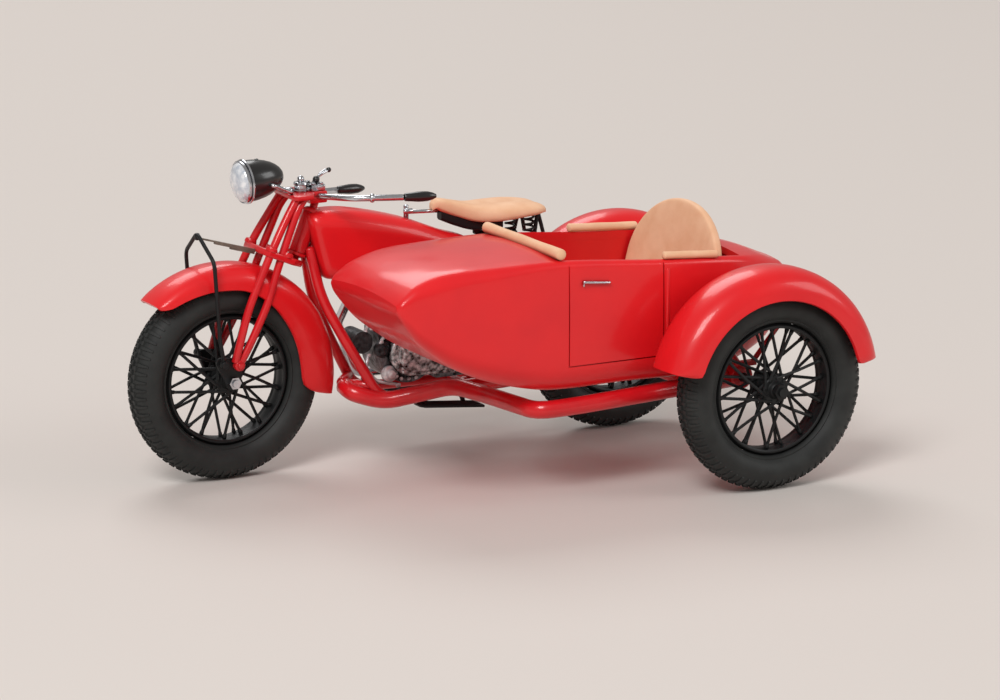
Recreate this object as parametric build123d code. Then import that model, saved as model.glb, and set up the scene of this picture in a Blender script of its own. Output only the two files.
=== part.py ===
from build123d import *
import os
from math import atan2, cos, degrees, pi, radians, sin, sqrt

# A 1:43 display model of a 1920s V-twin motorcycle with a left-hand sidecar.
# Working frame, in millimetres: X forward, Y left (the sidecar's side), Z up, with the origin on the
# ground straight below the front axle. finish() moves every piece to the stored frame, whose origin
# is on the ground below the middle of the whole model.

# ---------------------------------------------------------------- driving dimensions
TYRE_R = 7.6                 # outside radius of all three tyres
TYRE_HALF_W = 1.5            # half the tyre's section width
RIM_OUTER_R = 4.95           # where the tyre's bead sits
RIM_INNER_R = 4.5            # the opening that the spokes cross
RIM_HALF_W = 0.7
SEAT_GAP = 0.02              # glue gap between pieces of one body
RUNNING_GAP = 0.05           # radial clearance of an axle or stem in its bore

WHEELBASE = 33.2
SIDECAR_AXLE_X = -33.8       # the sidecar's wheel stands slightly behind the rear wheel
SIDECAR_TRACK = 22.0         # from the motorcycle's middle plane to the sidecar wheel's

HUB_R = 0.62
HUB_HALF_W = 1.35
FLANGE_R = 1.0
FLANGE_Y = 0.85              # middle of each hub flange, out from the wheel's middle plane
FLANGE_T = 0.28
SPOKE_W = 0.19               # the spokes are square strips, as on etched wheels
SPOKES_PER_SET = 9           # each wheel has four sets: two flanges, leading and trailing
SPOKE_LEAD_DEG = 68.0        # how far round the rim a spoke runs from its place on the flange
SPOKE_SET_OFFSET = 0.22      # leading and trailing spokes pass each other by this much

AXLE_R = 0.28                # front axle
STUB_R = 0.34                # rear and sidecar axles

RAKE_DEG = 23.0              # the steering axis leans back by this angle
HEAD_X, HEAD_Z = -6.9, 18.2  # middle of the head tube
HEAD_R = 0.65
HEAD_TOP, HEAD_BOTTOM = 2.15, -2.3   # ends of the head tube, measured along the steering axis
STEM_R = 0.3

LEG_R = 0.3                  # the fork's two legs on each side
LEG_TOP_Y, LEG_END_Y = 1.6, 2.15
CROWN_T = 0.5                # lower crown plate
CROWN_HALF_W = 2.1
TOP_PLATE_Z, TOP_PLATE_T = 20.75, 0.45
LUG_T = 0.62                 # fork end lugs, centred on LEG_END_Y
LINK_T = 0.28                # trailing link plates beside the hub
PIVOT = (-0.3, TYRE_R + 1.35)      # (x, z) of the link's pivot in the fork end
ROD_EYE = (0.95, TYRE_R + 1.55)    # (x, z) of the spring bow's eye on the link

BOW_R = 0.17                 # wire of the spring bow
BOW_Y = 2.5                  # the wire clears the front fender's sides
LEAF_TIP = (1.94, 18.3)      # (x, z) of the main leaf's front end
LEAF_W, LEAF_T = 0.9, 0.16

FENDER_T = 0.35
FRONT_FENDER_HALF_W = 2.05
REAR_FENDER_HALF_W = 2.05
REAR_FENDER_R = TYRE_R + 1.9
CAR_FENDER_R = TYRE_R + 1.9
CAR_FENDER_HALF_W = 2.5
CAR_FENDER_T = 0.4

LAMP_X, LAMP_Z = -2.45, 22.3   # middle of the headlamp's mouth
LAMP_R = 1.5
LAMP_LENGTH = 2.9
LAMP_WALL = 0.2
LAMP_RIM_R = 1.65

BAR_R = 0.23
BAR_TILT_DEG = 7.0           # the bar sits out of level: its left end is the higher
BAR_X, BAR_Z = -8.0, 21.55   # middle of the bar, in its clamp
GRIP_R = 0.42
GRIP_LENGTH = 2.5

TUBE_R = 0.45                # the motorcycle's frame tubes
LOOP_Y = 1.5                 # twin down tubes and cradle tubes, out from the middle plane
CRADLE_Z = 5.0
STAY_R = 0.4
STAY_Y = 2.6                 # rear stays pass outside the tyre, fender and chain
SEAT_TUBE_X = -20.8
DROPOUT_T = 0.4

ENGINE_X, ENGINE_Z = -14.6, 8.25   # crankshaft
CRANKCASE_R = 2.35
CRANKCASE_HALF_W = 1.65
V_HALF_DEG = 21.0            # each cylinder leans this much from the vertical
CYLINDER_R = 1.05
FIN_R = 1.45
FIN_COUNT = 6
FIN_T = 0.2
FIN_PITCH = 0.42
CYLINDER_BASE = 2.5          # from the crankshaft to the foot of a cylinder
HEAD_TOP_R = 5.75            # from the crankshaft to the top of a cylinder head

TANK_BOTTOM_Z = 14.85
TANK_HALF_W = 2.05

EXHAUST_Y, EXHAUST_Z, EXHAUST_R = -4.05, 5.6, 0.36
SILENCER_R = 0.8

CHAIN_Y, CHAIN_W, CHAIN_T = -1.85, 0.36, 0.3
REAR_SPROCKET_R = 1.7
GEARBOX_SPROCKET_R = 0.8
GEARBOX_X, GEARBOX_Z = -18.6, 7.6

CAR_FENDER_CLEAR = 0.95      # between the sidecar's body and its fender
CAR_Y_INNER = 6.4            # sides of the sidecar's body
CAR_Y_OUTER = SIDECAR_TRACK - CAR_FENDER_HALF_W - CAR_FENDER_CLEAR
CAR_HALF_W = (CAR_Y_OUTER - CAR_Y_INNER) / 2
CAR_MID_Y = (CAR_Y_INNER + CAR_Y_OUTER) / 2
CAR_WALL = 0.5
CAR_FLOOR_Z = TYRE_R + 0.6

CHASSIS_R = 0.6              # sidecar chassis tubes
CHASSIS_Z = CAR_FLOOR_Z - CHASSIS_R - 0.5
CHASSIS_OUTER_Y = CAR_Y_OUTER - 1.05
CHASSIS_FRONT_X = -17.0
CHASSIS_REAR_X = -30.5
CHASSIS_INNER_Y = 5.4

COCKPIT_FRONT_X, COCKPIT_REAR_X = -18.6, -34.0
CAR_SHOULDER_Z = 17.9

GRIP_END_Y = 6.0
TAIL_X = -43.1               # rearmost point: the tail lamp

BACK_X = -30.15              # foot of the seat back's rear face
BACK_LOW_Z = CAR_FLOOR_Z + 1.2
BACK_TOP_Z, BACK_SPRING_Z = 20.7, 15.6
BACK_HALF_W, BACK_T = CAR_HALF_W - 0.9, 0.9
BACK_LEAN_DEG, BACK_YAW_DEG = 14.0, 5.0
CUSHION_FRONT_X = -24.4
CUSHION_REAR_X = BACK_X + BACK_T + 0.55   # the back is turned a little, so its nearer end sets this
CUSHION_LOW_Z = CAR_FLOOR_Z + 1.4
CUSHION_TOP_Z = CUSHION_LOW_Z + 2.3
ROLL_R = 0.46

FRONT_AXLE = (0.0, TYRE_R)
REAR_AXLE = (-WHEELBASE, TYRE_R)
CAR_AXLE = (SIDECAR_AXLE_X, TYRE_R)

# the stored frame's origin, in the working frame
ORIGIN_X = (TYRE_R + TAIL_X) / 2
ORIGIN_Y = (SIDECAR_TRACK + CAR_FENDER_HALF_W - GRIP_END_Y - GRIP_R) / 2

STEER = Plane(
    origin=(HEAD_X, 0, HEAD_Z),
    x_dir=(cos(radians(RAKE_DEG)), 0, sin(radians(RAKE_DEG))),
    z_dir=(-sin(radians(RAKE_DEG)), 0, cos(radians(RAKE_DEG))),
)


# ---------------------------------------------------------------- small builders
def rod(start, end, radius):
    """A round bar from start to end."""
    start, end = Vector(*start), Vector(*end)
    run = end - start
    return Solid.make_cylinder(radius, run.length, Plane(origin=start, z_dir=run))


def strip(start, end, width):
    """A square bar from start to end, with two of its faces across Z."""
    start, end = Vector(*start), Vector(*end)
    run = end - start
    section = Plane(origin=start, x_dir=Vector(0, 0, 1).cross(run), z_dir=run) * Rectangle(width, width)
    return extrude(section, amount=run.length)


def tube(points, radius, bend):
    """A round bar along straight runs joined by arcs of the given radius or radii."""
    path = FilletPolyline(*points, radius=bend)
    return sweep(Plane(origin=path @ 0, z_dir=path % 0) * Circle(radius), path=path)


def side_plane(y):
    """The upright plane at y, whose own x and y are the model's X and Z."""
    return Plane(origin=(0, y, 0), x_dir=(1, 0, 0), z_dir=(0, -1, 0))


def side_slab(sketch, y_low, y_high):
    """A sketch drawn in (X, Z) and made solid between two values of y."""
    return extrude(side_plane(y_high) * sketch, amount=y_high - y_low)


def disc(centre_xz, radius, y_low, y_high):
    """A round disc with its axis along Y."""
    return rod((centre_xz[0], y_low, centre_xz[1]), (centre_xz[0], y_high, centre_xz[1]), radius)


def steer_point(u, y, w):
    """A point given forward of, beside and along the steering axis."""
    return STEER.from_local_coords(Vector(u, y, w))


def wheel_ring(profile, axle_xz, y, angle=360.0, start=0.0):
    """Turn a closed outline of (radius, y) points about an axle; angles run from the front, upward."""
    outline = make_face(Polyline(*[(r, 0, across) for r, across in profile], close=True))
    # drawn with the radius along X and the width along Z, then laid on its side
    ring = revolve(Rot(0, 0, start) * outline, Axis.Z, angle)
    return Pos(axle_xz[0], y, axle_xz[1]) * Rot(90, 0, 0) * ring


# ---------------------------------------------------------------- wheels
def tyre_profile():
    """Half a tyre's section as (radius, out from the middle), mirrored to a closed outline."""
    half = [
        (RIM_OUTER_R + SEAT_GAP, RIM_HALF_W),
        (TYRE_R - TYRE_HALF_W, TYRE_HALF_W),
        (TYRE_R - 0.55, TYRE_HALF_W - 0.25),
        (TYRE_R, 0.5),
    ]
    return half + [(r, -across) for r, across in reversed(half)]


def rim_profile():
    """The rim: a shallow channel with its edges rolled out to the bead."""
    half = [(RIM_INNER_R, 0.3), (RIM_INNER_R + 0.12, RIM_HALF_W), (RIM_OUTER_R, RIM_HALF_W)]
    return half + [(r, -across) for r, across in reversed(half)]


def spokes():
    """Crossed spokes of one wheel, in the wheel's own frame with its axis along Z."""
    made = []
    reach = (RIM_INNER_R + RIM_OUTER_R) / 2
    root = (HUB_R + FLANGE_R) / 2
    for side in (1, -1):
        for lead in (1, -1):
            across = side * (FLANGE_Y + lead * SPOKE_SET_OFFSET / 2)
            at_rim = side * (RIM_HALF_W / 2 + lead * SPOKE_SET_OFFSET / 2)
            for i in range(SPOKES_PER_SET):
                turn = 2 * pi * (i + (side + 1) / 4 + (lead + 1) / 8) / SPOKES_PER_SET
                ahead = turn + lead * radians(SPOKE_LEAD_DEG)
                made.append(strip(
                    (root * cos(turn), root * sin(turn), across),
                    (reach * cos(ahead), reach * sin(ahead), at_rim),
                    SPOKE_W,
                ))
    return made


def wire_wheel(bore_r):
    """Hub, flanges, laced spokes and rim in one piece, with its axis along Z."""
    hub = Cylinder(HUB_R, 2 * HUB_HALF_W)
    flanges = [Pos(0, 0, s * FLANGE_Y) * Cylinder(FLANGE_R, FLANGE_T) for s in (1, -1)]
    rim = revolve(make_face(Polyline(*[(r, 0, a) for r, a in rim_profile()], close=True)), Axis.Z)
    wheel = hub.fuse(*flanges, *spokes(), rim)
    return wheel - Cylinder(bore_r, 2 * HUB_HALF_W + 1)


def stand_wheel(wheel, axle_xz, y):
    """Put a wheel made about Z on its axle along Y."""
    return Pos(axle_xz[0], y, axle_xz[1]) * Rot(90, 0, 0) * wheel


def make_wheels(nodes):
    """Three equal tyres on three wire wheels; the rear one carries the chain's sprocket."""
    tyre = revolve(make_face(Polyline(*[(r, 0, a) for r, a in tyre_profile()], close=True)), Axis.Z)
    bare = wire_wheel(STUB_R + RUNNING_GAP)
    front = wire_wheel(AXLE_R + RUNNING_GAP)
    sprocket = disc(REAR_AXLE, REAR_SPROCKET_R, CHAIN_Y - CHAIN_W / 2, CHAIN_Y + CHAIN_W / 2)
    carrier = disc(REAR_AXLE, HUB_R, CHAIN_Y + CHAIN_W / 2, -HUB_HALF_W)
    bore = disc(REAR_AXLE, STUB_R + RUNNING_GAP, CHAIN_Y - CHAIN_W, CHAIN_Y + 2 * CHAIN_W)
    rear = stand_wheel(bare, REAR_AXLE, 0).fuse(sprocket, carrier) - bore
    for name, wheel, axle, y in (
        ("front", stand_wheel(front, FRONT_AXLE, 0), FRONT_AXLE, 0),
        ("rear", rear, REAR_AXLE, 0),
        ("sidecar", stand_wheel(bare, CAR_AXLE, SIDECAR_TRACK), CAR_AXLE, SIDECAR_TRACK),
    ):
        nodes[name + "_tyre"] = stand_wheel(tyre, axle, y)
        nodes[name + "_wire_wheel"] = wheel


# ---------------------------------------------------------------- steering
def fork_leg(top_u, foot_xz, side):
    """One leg, from inside the top plate down to the fork end."""
    top = steer_point(top_u, side * LEG_TOP_Y, 2.05)
    top_z = TOP_PLATE_Z + TOP_PLATE_T / 2
    foot = Vector(foot_xz[0], side * LEG_END_Y, foot_xz[1])
    run = top - foot
    head = foot + run * ((top_z - foot.Z) / run.Z)
    return rod(tuple(foot), tuple(head), LEG_R)


LEGS = ((2.62, (-0.15, 9.3)), (1.86, (-0.35, 9.0)))   # (u at the top, (x, z) at the foot)


def leg_sweep(extra):
    """The legs grown by extra, used to notch the fender that they stand against."""
    grown = []
    for top_u, foot_xz in LEGS:
        for side in (1, -1):
            top = steer_point(top_u, side * LEG_TOP_Y, 2.05)
            foot = Vector(foot_xz[0], side * LEG_END_Y, foot_xz[1])
            grown.append(rod(tuple(foot), tuple(top), LEG_R + extra))
    return grown


def make_fork(nodes):
    """Four legs, two crowns, stem, fork ends and the headlamp's two arms."""
    legs = [fork_leg(top_u, foot, side) for top_u, foot in LEGS for side in (1, -1)]
    top_outline = Polyline((-8.75, 0.7), (-7.2, 0.95), (-6.3, 2.0), (-4.85, 2.0),
                           (-4.85, -2.0), (-6.3, -2.0), (-7.2, -0.95), (-8.75, -0.7), close=True)
    top_plate = extrude(Plane.XY.offset(TOP_PLATE_Z) * make_face(top_outline), amount=TOP_PLATE_T)
    crown_outline = Polyline((-0.75, 0.75), (1.3, CROWN_HALF_W), (3.15, CROWN_HALF_W),
                             (3.15, -CROWN_HALF_W), (1.3, -CROWN_HALF_W), (-0.75, -0.75), close=True)
    crown_low = HEAD_BOTTOM - RUNNING_GAP - CROWN_T
    crown = extrude(STEER.offset(crown_low) * make_face(crown_outline), amount=CROWN_T)
    stem_top = steer_point(0, 0, 3.0)
    stem = rod(tuple(steer_point(0, 0, crown_low)), tuple(stem_top), STEM_R)
    stem_cap = Pos(0, 0, TOP_PLATE_Z + TOP_PLATE_T + 5) * Box(40, 40, 10)
    lugs = [disc(PIVOT, 0.5, s * LEG_END_Y - LUG_T / 2, s * LEG_END_Y + LUG_T / 2) for s in (1, -1)]
    arms = []
    arm_y = LAMP_R + 0.32
    for side in (1, -1):
        arms.append(rod((-5.1, side * arm_y, TOP_PLATE_Z + 0.2), (-3.9, side * arm_y, 22.1), 0.16))
        arms.append(rod((-3.9, side * arm_y, 22.1), (-3.75, side * (LAMP_R - 0.1), 22.1), 0.16))
    nodes["fork"] = (top_plate.fuse(*legs, crown, stem, *lugs) - stem_cap)
    lamp_arms = [arms[0].fuse(arms[1]), arms[2].fuse(arms[3])]
    shell_clear = Pos(LAMP_X, 0, LAMP_Z) * Rot(0, -90, 0) * lamp_body(SEAT_GAP)
    nodes["fork"] = nodes["fork"].fuse(*lamp_arms) - shell_clear


def make_links(nodes):
    """Link plates that carry the front axle, and the axle with its nuts."""
    plates = []
    inner = LEG_END_Y - LUG_T / 2 - SEAT_GAP - LINK_T
    eyes = ((FRONT_AXLE, 0.6), (PIVOT, 0.45), (ROD_EYE, 0.38))
    hull = make_hull([e for (x, z), r in eyes for e in (Pos(x, z) * Circle(r)).edges()])
    for side in (1, -1):
        low, high = sorted((side * inner, side * (inner + LINK_T)))
        plate = side_slab(hull, low, high)
        plates.append(plate - disc(FRONT_AXLE, AXLE_R + SEAT_GAP, low - 1, high + 1))
    nodes["axle_links"] = Compound(plates)
    nut_y = inner + LINK_T + SEAT_GAP
    axle = disc(FRONT_AXLE, AXLE_R, -nut_y - 0.55, nut_y + 0.55)
    nut = Pos(0, 0, 0) * RegularPolygon(0.48, 6)
    nuts = [side_slab(Pos(*FRONT_AXLE) * nut, *sorted((s * nut_y, s * (nut_y + 0.35)))) for s in (1, -1)]
    nodes["front_axle"] = axle.fuse(*nuts)


def make_spring(nodes):
    """The quarter-elliptic leaf spring over the fender, and the wire bow from its tip to the links."""
    crown_u = 3.15
    seat = steer_point(crown_u, 0, HEAD_BOTTOM - RUNNING_GAP - CROWN_T / 2)
    leaves = []
    tip = Vector(LEAF_TIP[0], 0, LEAF_TIP[1])
    root = Vector(seat.X + 0.22, 0, seat.Z + 0.1)
    for i, share in enumerate((1.0, 0.72, 0.45)):
        end = root + (tip - root) * share
        line = Polyline((root.X, root.Z - i * LEAF_T), (end.X, end.Z - i * LEAF_T),
                        (end.X, end.Z - (i - 1) * LEAF_T - 0.002 * i), (root.X, root.Z - (i - 1) * LEAF_T - 0.002 * i),
                        close=True)
        leaves.append(side_slab(make_face(line), -LEAF_W / 2, LEAF_W / 2))
    nodes["leaf_spring"] = leaves[0].fuse(*leaves[1:])
    ends = []
    for side in (1, -1):
        ends.append([
            (ROD_EYE[0], side * (BOW_Y - 0.22), ROD_EYE[1]), (1.36, side * BOW_Y, 11.1),
            (1.62, side * BOW_Y, 14.9), (1.74, side * BOW_Y, 17.0), (2.25, side * (BOW_Y - 0.25), 17.8),
            (LEAF_TIP[0] + 0.02, side * 0.35, LEAF_TIP[1] + LEAF_T + BOW_R + 0.08),
        ])
    path = ends[0] + list(reversed(ends[1]))
    bow = tube(path, BOW_R, 0.25)
    inner = LEG_END_Y - LUG_T / 2
    eyes = [disc(ROD_EYE, 0.3, *sorted((s * inner, s * (BOW_Y - 0.05)))) for s in (1, -1)]
    nodes["spring_bow"] = bow.fuse(*eyes)


def fender_band(outer, inner):
    """A closed section from a run of outer points and a run of inner points, each (radius, y) half."""
    half_out = outer + [(r, -a) for r, a in reversed(outer) if a > 0]
    half_in = inner + [(r, -a) for r, a in reversed(inner) if a > 0]
    return half_out + list(reversed(half_in))


def domed_section(crown_r, lip_r, half_w, wall):
    """A fender's section: round over the crown, with upright sides down to the lip."""
    drop = crown_r - lip_r
    outer = [(lip_r, half_w), (lip_r + 0.5 * drop, half_w - 0.06), (crown_r - 0.16 * drop, 0.72 * half_w),
             (crown_r, 0.27 * half_w)]
    inner = [(lip_r, half_w - wall), (lip_r + 0.42 * drop, half_w - wall - 0.04),
             (crown_r - 0.16 * drop - wall, 0.6 * half_w)]
    return fender_band(outer, inner)


FRONT_FENDER_PARTS = (   # (crown radius, lip radius, from angle, to angle): the rear part has a deep skirt
    (TYRE_R + 1.25, TYRE_R + 0.15, 40.0, 72.0),
    (TYRE_R + 1.25, TYRE_R - 0.45, 72.0, 128.0),
    (TYRE_R + 1.45, TYRE_R - 1.35, 128.0, 193.0),
)


def make_front_fender(nodes):
    """A narrow domed fender whose sides deepen behind the fork; the legs lie in notches."""
    parts = []
    for crown_r, lip_r, low, high in FRONT_FENDER_PARTS:
        section = domed_section(crown_r, lip_r, FRONT_FENDER_HALF_W, FENDER_T)
        parts.append(wheel_ring(section, FRONT_AXLE, 0, high - low, low))
    fender = parts[0].fuse(*parts[1:])
    crown_clear = extrude(STEER.offset(HEAD_BOTTOM - RUNNING_GAP - CROWN_T - SEAT_GAP)
                          * Rectangle(7.5, 5), amount=2)
    for cutter in leg_sweep(SEAT_GAP):
        fender = fender - cutter
    nodes["front_fender"] = fender - crown_clear


def lamp_body(grow=0.0):
    """The headlamp's closed bowl about Z, mouth at the origin and crown at -Z, grown by a gap."""
    outline = [(0, 0), (LAMP_R + grow, 0)]
    steps = 5
    for i in range(1, steps):
        t = i * 90.0 / steps
        outline.append(((LAMP_R + grow) * cos(radians(t)), -(LAMP_LENGTH + grow) * sin(radians(t))))
    outline.append((0, -(LAMP_LENGTH + grow)))
    return revolve(make_face(Polyline(*[(x, 0, z) for x, z in outline], close=True)), Axis.Z)


def make_headlamp(nodes):
    """Bowl, rim and lens; the bowl is open behind the glass."""
    place = Pos(LAMP_X, 0, LAMP_Z) * Rot(0, 90, 0)
    bowl = lamp_body() - lamp_body(-LAMP_WALL)
    nodes["headlamp_shell"] = place * bowl
    rim_section = Polyline((LAMP_R - 0.2, 0, SEAT_GAP), (LAMP_RIM_R, 0, SEAT_GAP), (LAMP_RIM_R, 0, 0.3),
                           (LAMP_R - 0.05, 0, 0.5), (LAMP_R - 0.2, 0, 0.4), close=True)
    nodes["headlamp_rim"] = place * revolve(make_face(rim_section), Axis.Z)
    lens_r = LAMP_R - 0.2 - SEAT_GAP
    lens_section = Polyline((0, 0, 0.1), (lens_r, 0, 0.1), (lens_r, 0, 0.34), (0.6 * lens_r, 0, 0.48),
                            (0, 0, 0.54), close=True)
    nodes["headlamp_lens"] = place * revolve(make_face(lens_section), Axis.Z)


BAR_POINTS = (   # the left half of the bar before it is tilted: (x, y, z)
    (-8.0, 0.0, 0.0), (-8.0, 1.3, -0.05), (-9.2, 3.5, -0.3), (-12.1, 5.75, -1.1),
    (-12.1 - GRIP_LENGTH, GRIP_END_Y, -1.35),
)


def make_handlebar(nodes):
    """A swept-back bar in its clamp, with tapered grips, an instrument drum and control knobs."""
    tilt = Pos(0, 0, BAR_Z) * Rot(BAR_TILT_DEG, 0, 0)
    left = [p for p in BAR_POINTS[1:]]
    right = [(x, -y, z) for x, y, z in reversed(left)]
    bar = tube(right + left, BAR_R, 0.9)
    bar = tilt * bar
    grips = []
    start, end = Vector(*BAR_POINTS[-2]), Vector(*BAR_POINTS[-1])
    run = (end - start).normalized()
    section = Polyline((0, 0, 0), (BAR_R + 0.06, 0, 0), (GRIP_R, 0, 0.35 * GRIP_LENGTH),
                       (GRIP_R, 0, 0.8 * GRIP_LENGTH), (BAR_R + 0.08, 0, 1.06 * GRIP_LENGTH),
                       (0, 0, 1.09 * GRIP_LENGTH), close=True)
    grip = revolve(make_face(section), Axis.Z)
    for side in (1, -1):
        at = Plane(origin=(start.X, side * start.Y, start.Z), z_dir=(run.X, side * run.Y, run.Z))
        grips.append(tilt * (at.location * grip))
    for grip_solid in grips:
        bar = bar - grip_solid
    bar = max(bar.solids(), key=lambda s: s.volume)
    nodes["handlebar"] = bar
    nodes["grips"] = Compound([g.solids()[0] for g in grips])
    plate_top = TOP_PLATE_Z + TOP_PLATE_T + SEAT_GAP
    clamp = Pos(BAR_X, 0, (plate_top + BAR_Z + 0.35) / 2) * Box(1.1, 1.5, BAR_Z + 0.35 - plate_top)
    drum = rod((-6.4, 0, plate_top), (-6.4, 0, plate_top + 0.75), 0.55)
    horn = rod((-5.9, 1.1, plate_top), (-5.9, 1.1, plate_top + 0.55), 0.3)
    nodes["bar_clamp"] = Compound([
        s for piece in (clamp, drum, horn) for s in (piece - tilt * tube(right + left, BAR_R + SEAT_GAP, 0.9)).solids()
    ])
    knobs = []
    for x, y, radius in ((-7.15, 0.0, 0.3), (-8.75, 0.9, 0.26)):
        knobs.append(rod((x, y, plate_top), (x, y, plate_top + 0.85), radius * 0.5)
                     + Pos(x, y, plate_top + 0.95) * Cylinder(radius, 0.4))
    nodes["control_knobs"] = Compound([(k - clamp - drum - tilt * tube(right + left, BAR_R + SEAT_GAP, 0.9)).solids()[0]
                                       for k in knobs[:1]])


# ---------------------------------------------------------------- motorcycle frame and engine
def make_frame(nodes):
    """Head tube, twin loop, seat tube, top tube and the rear stays with their dropouts."""
    head = rod(tuple(steer_point(0, 0, HEAD_BOTTOM)), tuple(steer_point(0, 0, HEAD_TOP)), HEAD_R)
    pieces = []
    for side in (1, -1):
        pieces.append(tube([
            (-6.6, side * 0.4, 16.9), (-7.35, side * LOOP_Y, 15.3), (-11.3, side * LOOP_Y, CRADLE_Z),
            (-20.2, side * LOOP_Y, CRADLE_Z), (-23.2, side * STAY_Y, CRADLE_Z + 0.2),
            (REAR_AXLE[0], side * STAY_Y, REAR_AXLE[1]),
        ], TUBE_R, [0.9, 1.2, 1.5, 1.5]))
        pieces.append(tube([
            (SEAT_TUBE_X - 0.3, side * 0.2, 14.5), (-24.4, side * STAY_Y, 12.7),
            (REAR_AXLE[0], side * STAY_Y, REAR_AXLE[1]),
        ], STAY_R, 1.0))
        low, high = sorted((side * (STAY_Y - DROPOUT_T / 2), side * (STAY_Y + DROPOUT_T / 2)))
        pieces.append(disc(REAR_AXLE, 0.95, low, high))
    pieces.append(rod((SEAT_TUBE_X, 0, CRADLE_Z), (SEAT_TUBE_X - 0.5, 0, 16.3), TUBE_R))
    pieces.append(rod((-7.1, 0, 16.6), (SEAT_TUBE_X - 0.4, 0, 14.15), TUBE_R))
    for x in (-11.9, SEAT_TUBE_X + 1.0):
        pieces.append(rod((x, -LOOP_Y, CRADLE_Z), (x, LOOP_Y, CRADLE_Z), TUBE_R * 0.8))
    pieces.append(rod((SEAT_TUBE_X + 1.0, 0, CRADLE_Z), (SEAT_TUBE_X, 0, CRADLE_Z), TUBE_R * 0.8))
    frame = head.fuse(*pieces)
    stem_hole = rod(tuple(steer_point(0, 0, HEAD_BOTTOM - 1)), tuple(steer_point(0, 0, HEAD_TOP + 1)),
                    STEM_R + RUNNING_GAP)
    axle_hole = disc(REAR_AXLE, STUB_R + SEAT_GAP, -STAY_Y - 2, STAY_Y + 2)
    frame = frame - stem_hole - axle_hole
    nodes["frame"] = frame


TANK_SECTIONS = (   # (top x, bottom x, half width, bottom z, top z, corner radius), front to back
    (-6.7, -7.6, 1.45, 15.6, 19.45, 0.7),
    (-10.2, -10.0, 1.95, TANK_BOTTOM_Z, 19.35, 0.95),
    (-14.8, -14.6, TANK_HALF_W, TANK_BOTTOM_Z, 18.2, 0.95),
    (-18.2, -18.0, 1.6, TANK_BOTTOM_Z, 16.85, 0.75),
    (-20.4, -20.3, 1.0, TANK_BOTTOM_Z, 16.2, 0.45),
)


def make_tank(nodes):
    """A long tank, highest at the steering head and tapering to the saddle."""
    sections = []
    for x_top, x_low, half, z_low, z_top, corner in TANK_SECTIONS:
        rise = Vector(x_top - x_low, 0, z_top - z_low)
        across = Plane(origin=((x_top + x_low) / 2, 0, (z_top + z_low) / 2), x_dir=(0, 1, 0),
                       z_dir=Vector(0, 1, 0).cross(rise))
        sections.append(across * RectangleRounded(2 * half, rise.length, corner))
    tank = loft(sections, ruled=True)
    head_clear = rod(tuple(steer_point(0, 0, -6)), tuple(steer_point(0, 0, 6)), HEAD_R + SEAT_GAP)
    nodes["fuel_tank"] = (tank - head_clear - nodes["frame"]).solids().sort_by(lambda s: s.volume)[-1]


def finned_cylinder(lean):
    """One cylinder barrel with its fins and head, leaning forward or back from the crankshaft."""
    base = CYLINDER_BASE
    profile = [(0, base), (CYLINDER_R, base)]
    z = base + 0.35
    for i in range(FIN_COUNT):
        profile += [(CYLINDER_R, z), (FIN_R, z), (FIN_R, z + FIN_T), (CYLINDER_R, z + FIN_T)]
        z += FIN_PITCH
    profile += [(CYLINDER_R, HEAD_TOP_R - 0.25), (CYLINDER_R - 0.3, HEAD_TOP_R), (0, HEAD_TOP_R)]
    body = revolve(make_face(Polyline(*[(x, 0, w) for x, w in profile], close=True)), Axis.Z)
    half_space = Pos((1 if lean > 0 else -1) * (SEAT_GAP / 2 + 5), 0, 0) * Box(10, 10, 20)
    return Pos(ENGINE_X, 0, ENGINE_Z) * ((Rot(0, lean, 0) * body) & half_space)


def make_engine(nodes):
    """Crankcase with timing cover, two finned cylinders, magneto, carburettor and exhaust."""
    case = disc((ENGINE_X, ENGINE_Z), CRANKCASE_R, -CRANKCASE_HALF_W, CRANKCASE_HALF_W)
    neck = side_slab(Pos(ENGINE_X, ENGINE_Z + 1.4) * Rectangle(4.6, 1.9), -1.2, 1.2)
    timing = disc((ENGINE_X + 0.6, ENGINE_Z - 0.2), 1.35, -CRANKCASE_HALF_W - 0.5, -CRANKCASE_HALF_W)
    case = case.fuse(neck, timing)
    for name, lean in (("front", V_HALF_DEG), ("rear", -V_HALF_DEG)):
        barrel = finned_cylinder(lean)
        nodes[name + "_cylinder"] = barrel
        seat = Pos(ENGINE_X, 0, ENGINE_Z) * Rot(0, lean, 0) * Pos(0, 0, CYLINDER_BASE - SEAT_GAP + 5) * Box(8, 8, 10)
        case = case - (seat & side_slab(Pos(ENGINE_X + (3 if lean > 0 else -3), ENGINE_Z) * Rectangle(6, 20), -4, 4))
    nodes["crankcase"] = case.solids().sort_by(lambda s: s.volume)[-1]
    magneto = disc((-10.9, 9.3), 0.85, -0.9, 1.3)
    cap = rod((-10.6, 1.0, 10.1), (-10.15, 1.0, 11.1), 0.42)
    foot = side_slab(Pos(-11.6, 8.2) * Rectangle(1.9, 0.5), -0.6, 1.0)
    nodes["magneto"] = (magneto.fuse(cap, foot) - disc((ENGINE_X, ENGINE_Z), CRANKCASE_R + SEAT_GAP, -3, 3)
                        - nodes["frame"]).solids().sort_by(lambda s: s.volume)[-1]
    bowl = rod((ENGINE_X, 1.75, 11.3), (ENGINE_X, 1.75, 12.5), 0.5)
    throat = rod((ENGINE_X, 0.6, 12.2), (ENGINE_X, 2.75, 12.2), 0.32)
    carb = bowl.fuse(throat)
    nodes["carburettor"] = carb - nodes["front_cylinder"] - nodes["rear_cylinder"]


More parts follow.
